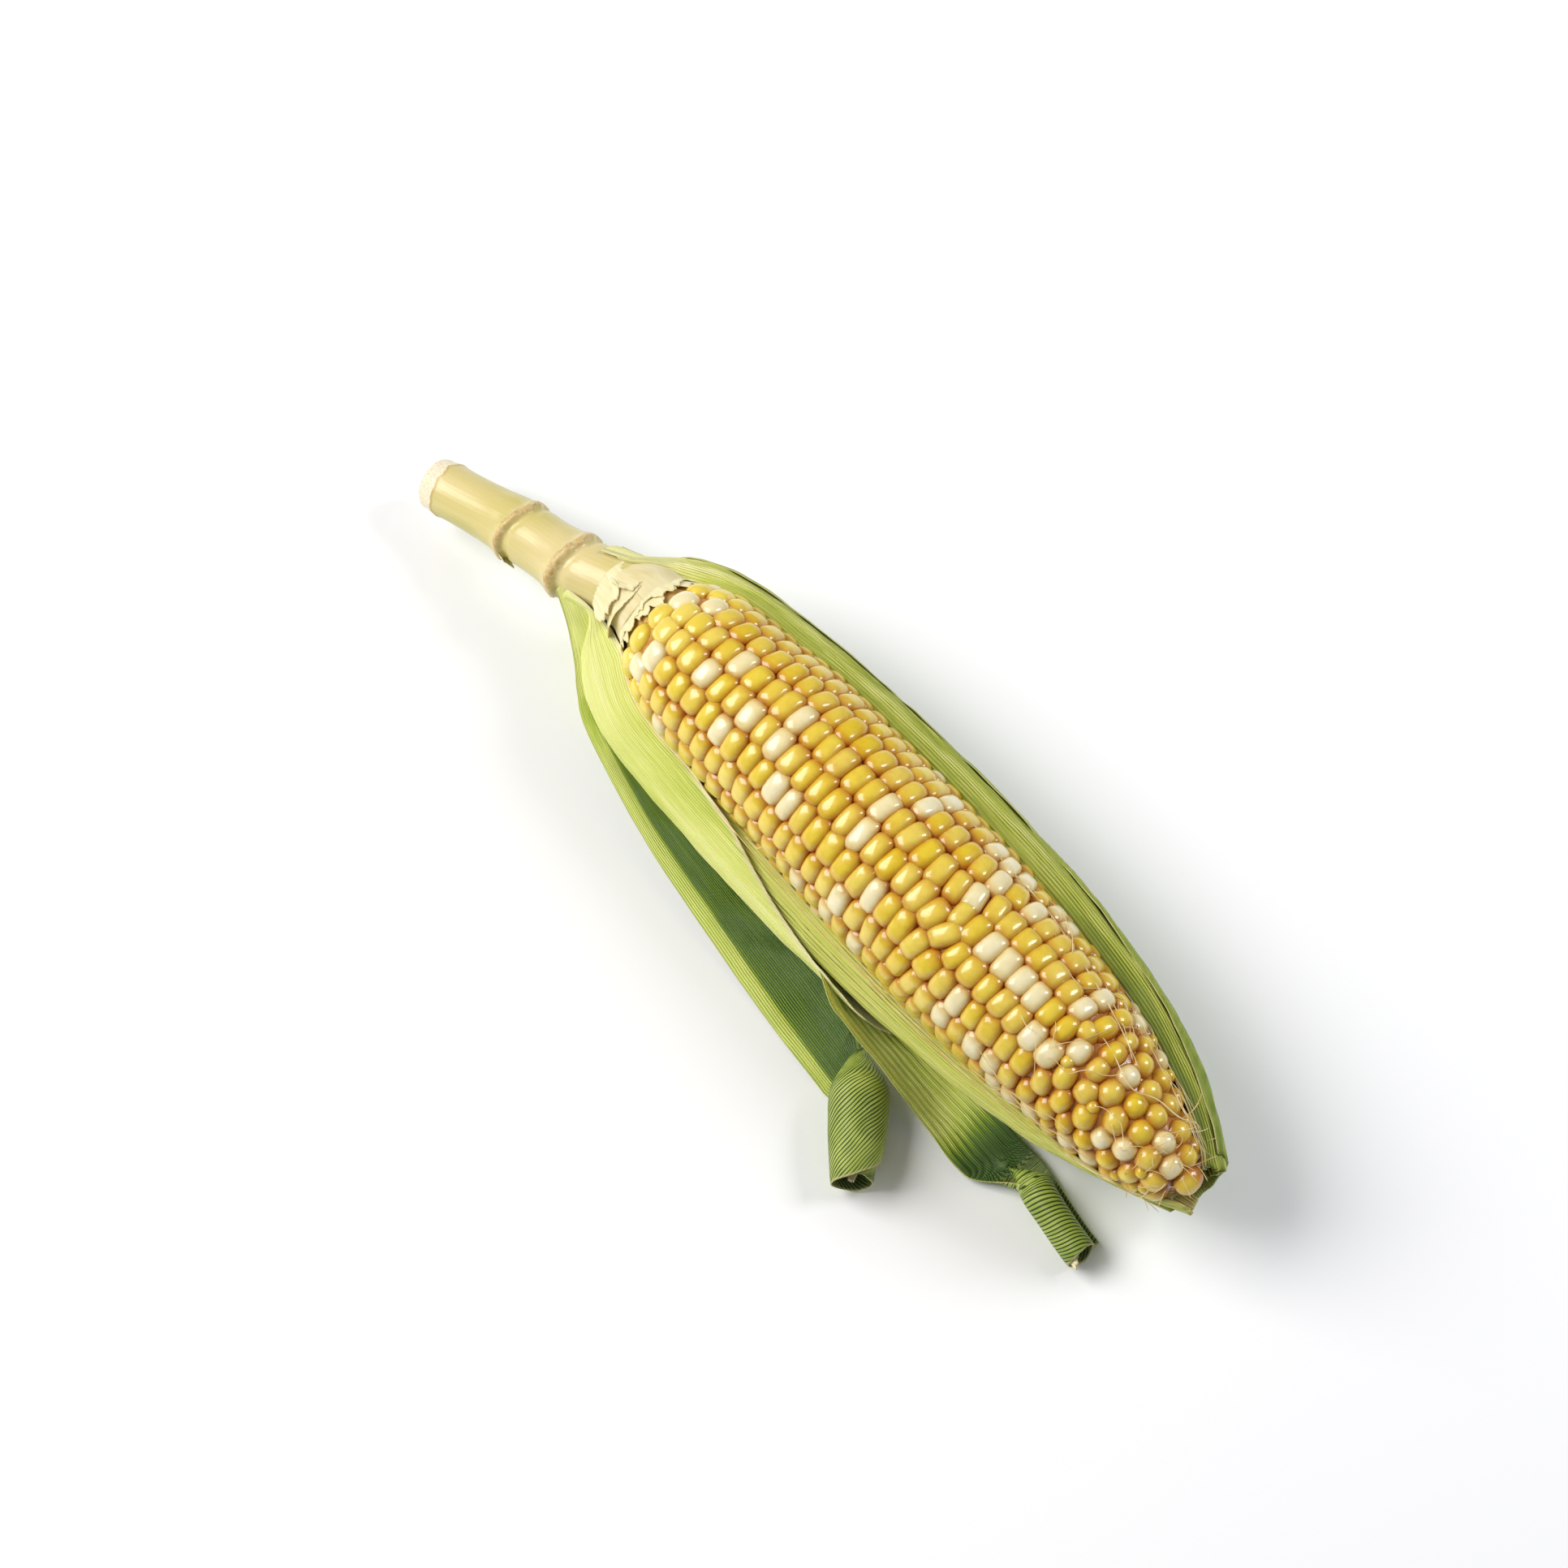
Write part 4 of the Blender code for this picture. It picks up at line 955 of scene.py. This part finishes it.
shankSettings = {
    "axis": ((-0.0004, 0.0, 0.0), (-0.005, 0.0, 0.0), (-0.014, 0.0028, -0.0008), (-0.0275, 0.0074, -0.0032),
             (-0.0475, 0.0116, -0.0074), (-0.0770, 0.0196, -0.0132)),
    "radius": ((0.0, 0.0096), (0.03, 0.0090), (0.07, 0.0090), (0.16, 0.0090), (0.24, 0.0087), (0.31, 0.0089),
               (0.36, 0.0089), (0.44, 0.0086), (0.56, 0.0086), (0.63, 0.0084), (0.75, 0.0079), (0.90, 0.0077),
               (0.945, 0.0078), (1.0, 0.0074)),
    "rings": ((0.342, 0.0015, 0.050), (0.600, 0.0012, 0.044)),   # where along the stem, how proud, how wide
    "cutFrom": 0.938,
    "sides": 120,
    "stations": 260,
}
shankCurve = smoothCurve([(k / 5, *p) for k, p in enumerate(shankSettings["axis"])])
shankPath = shankCurve(np.linspace(0, 1, 200))
shankLengths = np.concatenate([[0], np.cumsum(np.linalg.norm(np.diff(shankPath, axis=0), axis=1))])
shankShares = shankLengths / shankLengths[-1]


def alongShank(s, values):
    # the value where the stem's s is this; s falls from the ear to the cut
    return np.interp(s, shankPath[::-1, 0], values[::-1])


def shankAxis(s):
    return np.stack([alongShank(s, shankPath[:, 1]), alongShank(s, shankPath[:, 2])], -1)


def shankRadiusAt(s):
    return smoothCurve(shankSettings["radius"])(alongShank(s, shankShares))


def makeShank(material):
    sides, stations = shankSettings["sides"], shankSettings["stations"]
    share = np.linspace(0, 1, stations)[:, None]
    turn = fullTurn(sides)[None, :]
    middle = shankCurve(np.interp(share[:, 0], shankShares, np.linspace(0, 1, 200)))
    heading = unit(np.gradient(middle, axis=0))
    across = unit(np.cross(heading, up))
    lifted = np.cross(across, heading)
    radius = smoothCurve(shankSettings["radius"])(share) + 0 * turn
    ringValue = np.zeros((stations, sides))
    slope = 0.022 * np.cos(turn + 0.6)
    for at, proud, wide in shankSettings["rings"]:
        wander = slope + 0.006 * ripple(turn * 3.0, 0 * turn, 41) + 0.003 * ripple(turn * 11.0, 0 * turn, 43)
        # the lower joint ends in a lip: it swells up to it, then drops sharply on the ear's side
        off = (share - at - wander) / wide
        body = np.where(off > 0, np.exp(-(off * 1.5) ** 2), np.exp(-(off * 3.4) ** 4))
        radius += proud * body * (0.85 + 0.22 * ripple(turn * 9.0, off * 3.0, 47))
        radius -= 0.40 * mm * np.exp(-((off + 0.62) * 3.2) ** 2)
        radius += 0.25 * mm * np.exp(-((share - at - 0.05) / 0.05) ** 2)
        crust = np.exp(-((off - 0.02) * 2.9) ** 4) * (0.80 + 0.45 * ripple(turn * 14.0, off * 6.0, 49))
        ringValue = np.maximum(ringValue, np.clip(crust, 0, 1))
    # the cut end: crumbly fibre behind a ragged line
    cutEdge = shankSettings["cutFrom"] + 0.005 * ripple(turn * 7.0, 0 * turn, 53)
    cut = eased(share, cutEdge, cutEdge + 0.004)
    line = np.exp(-((share - cutEdge) / 0.0045) ** 2)
    ringValue = np.maximum(ringValue, 0.75 * line)
    crumbs = ripple(turn * 30.0, share * 160.0, 59) - 1
    radius += (0.10 * cut * crumbs + 0.25 * line) * mm
    radius += 0.03 * mm * np.sin(turn * 41 + 3 * np.sin(share * 9)) * (1 - cut)
    section = (across[:, None, :] * (radius * np.cos(turn))[..., None]
               + lifted[:, None, :] * (radius * np.sin(turn))[..., None])
    # the cut face: a little domed, rough with fibre ends
    discs = np.array([0.96, 0.8, 0.6, 0.4, 0.2])[:, None]
    rows = (stations, len(discs))
    bulge = 0.5 * mm * (1 - discs ** 2) + 0.12 * mm * ripple(turn * 9, np.arange(rows[1])[:, None] * 2.3, 61)
    face = middle[-1] + section[-1] * discs[..., None] + heading[-1] * bulge[..., None]
    points = worldOf(np.concatenate([middle[:, None, :] + section, face])).reshape(-1, 3)
    faces = gridFaces(stations, sides, 0, False, True)
    faces += gridFaces(rows[1] + 1, sides, (stations - 1) * sides, False, True)
    faces.append(rim((sum(rows) - 1) * sides, sides))
    faces.append(rim(0, sides, True))
    length = shankLengths[-1] / mm
    # painted light and shade: paler on top, darker and greener beneath, with some random mottle
    green = 0.36 - 0.44 * np.sin(turn) + 0.14 * ripple(turn * 3, share * 9, 67)
    values = {
        "around": stacked(turn * 8.5, turn * 8.5 * discs, rows, sides),
        "lengthwise": stacked(share * length, length + np.arange(rows[1])[:, None], rows, sides),
        "ring": stacked(ringValue, 0.0, rows, sides),
        "cut": stacked(cut, 1.0, rows, sides),
        "green": stacked(green, green[-1], rows, sides),
    }
    piece = addMesh("stem", points, faces, values, material)
    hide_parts("shank")
    print("stem done")


def tornStrip(centre, angles, sRange, radii, seed, size=(90, 16), ragged=0.5 * mm):
    # a strip that stands round the stem and was torn across; gives its points and values
    t, u = spans(*size)
    angle = np.radians(angles[0] + (angles[1] - angles[0]) * t)
    endWise = np.minimum(t, 1 - t) * 2
    reachOut = (0.55 + 0.45 * np.sqrt(np.clip(endWise * 3, 0, 1))) + 0.12 * ripple(t * 6, 0 * t, seed)
    tear = np.maximum(ripple(t * 22, 0 * t, seed + 2), -0.3) + 0.5 * ripple(t * 70, 0 * t, seed + 3)
    s = sRange[0] + (sRange[1] - sRange[0]) * u * reachOut + ragged * eased(u, 0.72, 1.0) * tear
    radius = radii[0] + (radii[1] - radii[0]) * u ** 1.6 + 0.35 * mm * u ** 3 * ripple(t * 4, u * 2, seed + 5)
    grid = world(s, centre[0] + radius * np.sin(angle), centre[1] + radius * np.cos(angle))
    return grid, {"across": t * 14, "along": u * 9, "edge": (1 - u) * 8}


stubs = (     # piece, node, centre, degrees round the stem, s, radii, seed
    ("torn_stub_near_side", "torn_stub_near",
     (0.0024, -0.0004), (-2, 66), (-0.0140, -0.0060), (0.0084, 0.0112), 71),
    ("torn_stub_far_side", "torn_stub_far",
     (0.0022, -0.0002), (-74, 4), (-0.0140, -0.0050), (0.0084, 0.0116), 73),
    ("sheath_stub", "shank_sheath_stub",
     (0.0112, -0.0070), (70, 122), (-0.0500, -0.0425), (0.0088, 0.0094), 79),
    ("torn_layer_1", None, (0.0010, 0), (-64, 40), (-0.0040, -0.0026), (0.0086, 0.0100), 83),
    ("torn_layer_2", None, (0.0018, 0), (-20, 96), (-0.0052, -0.0024), (0.0098, 0.0118), 89),
)
fleshRadius = smoothCurve(((0, 0.0084), (0.3, 0.0100), (0.6, 0.0108), (1, 0.0122)))
chaffCollars = (   # bracts, mm they stand out at least, mm more at most, mm below the kernels' crowns
    (21, 2.8, 2.2, 1.6),
    (33, 3.6, 3.6, 1.9),
)
dryTips = (        # where each starts, the way it points, the way across it
    ((0.1440, -0.0515, 0.0072), (0.60, -0.80, 0.05), (0.55, 0.45, 0.7)),
    ((0.1950, -0.0262, 0.0052), (0.93, -0.30, 0.15), (0.2, 0.6, 0.75)),
)


def makeStubs(material):
    for name, node, centre, angles, sRange, radii, seed in stubs:
        if node:
            grid, values = tornStrip(centre, angles, sRange, radii, seed)
            thick = 0.6 * mm * np.clip(0.15 + values["edge"] / 5, 0.15, 1.0)
        else:
            grid, values = tornStrip(centre, angles, sRange, radii, seed, (90, 14), 0.25 * mm)
            thick = 0.5 * mm * np.clip(0.2 + values["edge"] / 6, 0.2, 1.0)
        piece = sheetPiece(name, grid, values, thick, material)
        if node:
            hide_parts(node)
    # the stem's tissue widens to the ear's base, in soft folds
    t, u = spans(200, 26)
    angle = 2 * math.pi * t
    s = -0.0132 + 0.0140 * u + 0 * t
    middle = shankAxis(s) * (1 - eased(s, -0.008, 0.0))[..., None]
    radius = fleshRadius(u) + 0.4 * mm * u * ripple(np.cos(angle) * 4, np.sin(angle) * 4 + u * 3, 111)
    grid = world(s, middle[..., 0] + radius * np.sin(angle), middle[..., 1] + radius * np.cos(angle))
    values = {"across": t * 40, "along": u * 12, "edge": 0.3}
    sheetPiece("butt_flesh", grid, values, 0.3 * mm, material)
    # papery bracts of chaff between the butt's kernels and the stem, in two scalloped collars
    t, u = spans(420, 12)
    angle = 2 * math.pi * t
    x, y = np.cos(angle), np.sin(angle)
    for k, (bracts, low, high, gap) in enumerate(chaffCollars):
        bend = ripple(x * 4, y * 4, 101 + k)
        jagged = ripple(x * bracts / 3, y * bracts / 3, 103 + k) + 0.35 * ripple(x * 36, y * 36, 105 + k)
        s = -0.0014 + (low + high * np.clip(0.55 + 0.6 * jagged, 0, 1.3)) * mm * u
        grid = worldOf(onEar(s, angle, (0.9 * u - gap + 0.2 * u * bend) * mm))
        values = {"across": t * 60, "along": u * 5, "edge": (1 - u) * 5 + 1}
        sheetPiece("butt_chaff_%d" % (k + 1), grid, values, 0.3 * mm, material)
    # the dried point of each rolled leaf sticks out of its roll
    t, u = np.linspace(0, 1, 30)[:, None], np.linspace(-1, 1, 18)[None, :]
    for k, (foot, heading, side) in enumerate(dryTips):
        length = 7.5 * mm * (1 - 0.30 * np.abs(u) + 0.14 * ripple(u * 9, 0 * u, 131 + k))
        width = 2.0 * mm * (1 - 0.25 * t)
        course = np.array(foot) + unit(np.array(heading)) * (t * length)[..., None]
        grid = axisFoot + course + unit(np.array(side)) * (u * width)[..., None]
        grid[..., 2] += 0.9 * mm * np.cos(u * 2.2)
        values = {"across": u * 4, "along": t * 7, "edge": (1 - t) * 7}
        sheetPiece("dry_tip_%d" % (k + 1), grid, values, 0.4 * mm, material)
    print("stubs done")


def threads(name, paths, radius, material, sides=5):
    points, faces = [], []
    offset = 0
    turn = fullTurn(sides)[None, :, None]
    for path in paths:
        count = len(path)
        heading = unit(np.gradient(path, axis=0))
        across = unit(np.cross(heading, np.array((0.1, 0.3, 1.0))))
        lifted = np.cross(across, heading)
        toEnd = np.minimum(np.arange(count), np.arange(count)[::-1])
        taper = np.clip(toEnd / 2.0 + 0.35, 0, 1)[:, None, None]
        section = across[:, None, :] * np.cos(turn) + lifted[:, None, :] * np.sin(turn)
        points.append((path[:, None, :] + radius * taper * section).reshape(-1, 3))
        faces += gridFaces(count, sides, offset, False, True)
        faces.append(rim(offset, sides, True))
        faces.append(rim(offset + (count - 1) * sides, sides))
        offset += count * sides
    return addMesh(name, np.concatenate(points), faces, {}, material)


def overKernels(course, stations=40, seed=0, wander=0.5):
    # a thread over the kernels: rows of share, s, angle in degrees, lift in mm
    rng = np.random.default_rng(seed)
    k = np.linspace(0, 1, stations)
    rows = smoothCurve(course)(k)
    bend = wander * np.sin(k * rng.uniform(9, 16) + rng.uniform(0, 6)) * mm
    return worldOf(onEar(rows[:, 0] + bend, np.radians(rows[:, 1]) + bend / 0.02, (0.25 + rows[:, 2]) * mm))


silkThreads = {         # piece: its node, then its course over the kernels
    "silk_along_near": ("silk_near_edge", (
        (0, 0.052, 78, 0), (0.4, 0.096, 80, 0), (0.7, 0.135, 79, 0), (1, 0.168, 76, 0))),
    "silk_along_far": ("silk_far_long", (
        (0, 0.092, -70, 0), (0.3, 0.118, -62, 0.4), (0.7, 0.152, -56, 0.6), (1, 0.182, -38, 0))),
    "silk_loop": ("silk_far_loop", (
        (0, 0.128, -60, 0), (0.3, 0.136, -72, 1.2), (0.6, 0.143, -64, 1.6), (1, 0.150, -50, 0.6))),
    "silk_tip_high": ("silk_tip_upper", (
        (0, 0.170, -30, 0), (0.4, 0.184, -22, 0.8), (0.7, 0.193, -34, 2), (1, 0.201, -50, 4))),
    "silk_tip_low": ("silk_tip_lower", (
        (0, 0.150, 42, 0), (0.4, 0.170, 55, 0.6), (0.7, 0.185, 64, 1), (1, 0.198, 60, 2))),
}


def makeSilk(material):
    for k, (name, (node, course)) in enumerate(silkThreads.items()):
        piece = threads(name, [overKernels(course, 50, 200 + k)], 0.16 * mm, material)
        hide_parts(node)
    rng = random.Random(5)
    loose = []
    for k in range(26):
        # short threads caught between the husk and the kernels, thicker towards the tip
        s = rng.triangular(0.05, 0.200, 0.19)
        side = rng.choice((1, -1))
        angle = side * rng.uniform(62, 82)
        length = rng.uniform(0.012, 0.035)
        course = ((0, s, angle, 0),
                  (0.5, s + length / 2, angle - side * rng.uniform(0, 16), rng.uniform(0, 1.2)),
                  (1, min(s + length, 0.208), angle - side * rng.uniform(-6, 30), rng.uniform(0, 1.5)))
        loose.append(overKernels(course, 30, 300 + k))
    for k in range(6):
        s = rng.uniform(0.15, 0.188)
        angle = rng.uniform(-50, 50)
        length = rng.uniform(0.008, 0.022)
        course = ((0, s, angle, 0),
                  (0.5, s + length / 2, angle + rng.uniform(-14, 14), rng.uniform(0, 1)),
                  (1, s + length, angle + rng.uniform(-34, 34), rng.uniform(0, 2)))
        loose.append(overKernels(course, 24, 400 + k))
    threads("silk_loose", loose, 0.11 * mm, material)
    tuft = []
    t = np.linspace(0, 1, 10)[:, None]
    for k in range(46):
        s = rng.uniform(0.196, 0.207)
        start = worldOf(onEar(s, math.radians(rng.uniform(-110, 110)), -0.5 * mm))
        out = unit(np.array((rng.uniform(0.1, 0.9), rng.uniform(-1, 1), rng.uniform(-0.2, 0.8))))
        length = rng.uniform(3, 8) * mm
        curl = np.array((rng.uniform(-1, 1), rng.uniform(-1, 1), rng.uniform(-0.8, 0.6)))
        path = start + out * length * t + curl * length * 0.35 * t * t
        path[:, 0] = np.minimum(path[:, 0], place["buttX"] + 0.2125)
        path[:, 2] = np.maximum(path[:, 2], 4 * mm)
        tuft.append(path)
    threads("silk_tuft", tuft, 0.10 * mm, material, 4)
    print("silk done")


def makeStage():
    size = 3.0
    mesh = bpy.data.meshes.new("floor")
    corners = [(-size, -size, 0), (size, -size, 0), (size, size, 0), (-size, size, 0)]
    mesh.from_pydata(corners, [], [(0, 1, 2, 3)])
    floor = bpy.data.objects.new("floor", mesh)
    bpy.context.scene.collection.objects.link(floor)
    # white paper sweep: matt, very slightly cool
    paper = newMaterial("whitePaperSweep", {"Roughness": 0.8, "Base Color": linear("#FBFCFF")})[0]
    floor.data.materials.append(paper)


view = {
    "azimuth": 50, "elevation": 65, "distance": 0.945, "lens": 85, "sensor": 36,
    "aim": (-0.0017, 0.0034, 0.0437),
}


def makeCamera():
    azimuth, elevation = math.radians(view["azimuth"]), math.radians(view["elevation"])
    flat = math.cos(elevation)
    back = Vector((math.sin(azimuth) * flat, -math.cos(azimuth) * flat, math.sin(elevation)))
    data = bpy.data.cameras.new("view")
    data.lens = view["lens"]
    data.sensor_width = view["sensor"]
    camera = bpy.data.objects.new("view", data)
    camera.location = Vector(view["aim"]) + back * view["distance"]
    camera.rotation_euler = back.to_track_quat("Z", "Y").to_euler()
    bpy.context.scene.collection.objects.link(camera)
    bpy.context.scene.camera = camera


def addSoftbox(name, towards, distance, size, power, colour):
    aim = Vector((0.03, 0.01, 0.02))
    direction = Vector(towards).normalized()
    data = bpy.data.lights.new(name, "AREA")
    data.shape = "RECTANGLE"
    data.size, data.size_y = size
    data.energy = power
    data.color = linear(colour)[:3]
    box = bpy.data.objects.new(name, data)
    box.location = aim + direction * distance
    box.rotation_euler = direction.to_track_quat("Z", "Y").to_euler()
    bpy.context.scene.collection.objects.link(box)


def makeLight():
    studio = bpy.data.worlds.new("studio")
    bpy.context.scene.world = studio
    studio.use_nodes = True
    sky = studio.node_tree.nodes["Background"]
    sky.inputs["Color"].default_value = linear("#F6FAFF")
    sky.inputs["Strength"].default_value = 0.22
    addSoftbox("key", (-0.78, -0.66, 0.95), 1.2, (0.80, 0.80), 14.6, "#FFFCF7")
    addSoftbox("side", (0.45, 0.95, 0.95), 1.2, (0.30, 0.5), 6.6, "#FFFFFF")
    bpy.context.scene.view_settings.view_transform = "Standard"


print("materials")
huskMaterials = {key: leafSkin("huskLeaf_" + key, look) for key, look in leafLooks.items()}
huskMaterials["scroll"] = leafSkin("huskLeaf_scroll", {**leafLooks["rolled"], "veinPitch": 1.0})
stemRind, tornTissue, silk = stemSkin(), tornSkin(), silkSkin()
makeKernels(kernelSkin())
makeHusk()
makeLongLeaf()
makeCurledLeaf()
makeShank(stemRind)
makeStubs(tornTissue)
makeSilk(silk)
makeStage()
makeCamera()
makeLight()
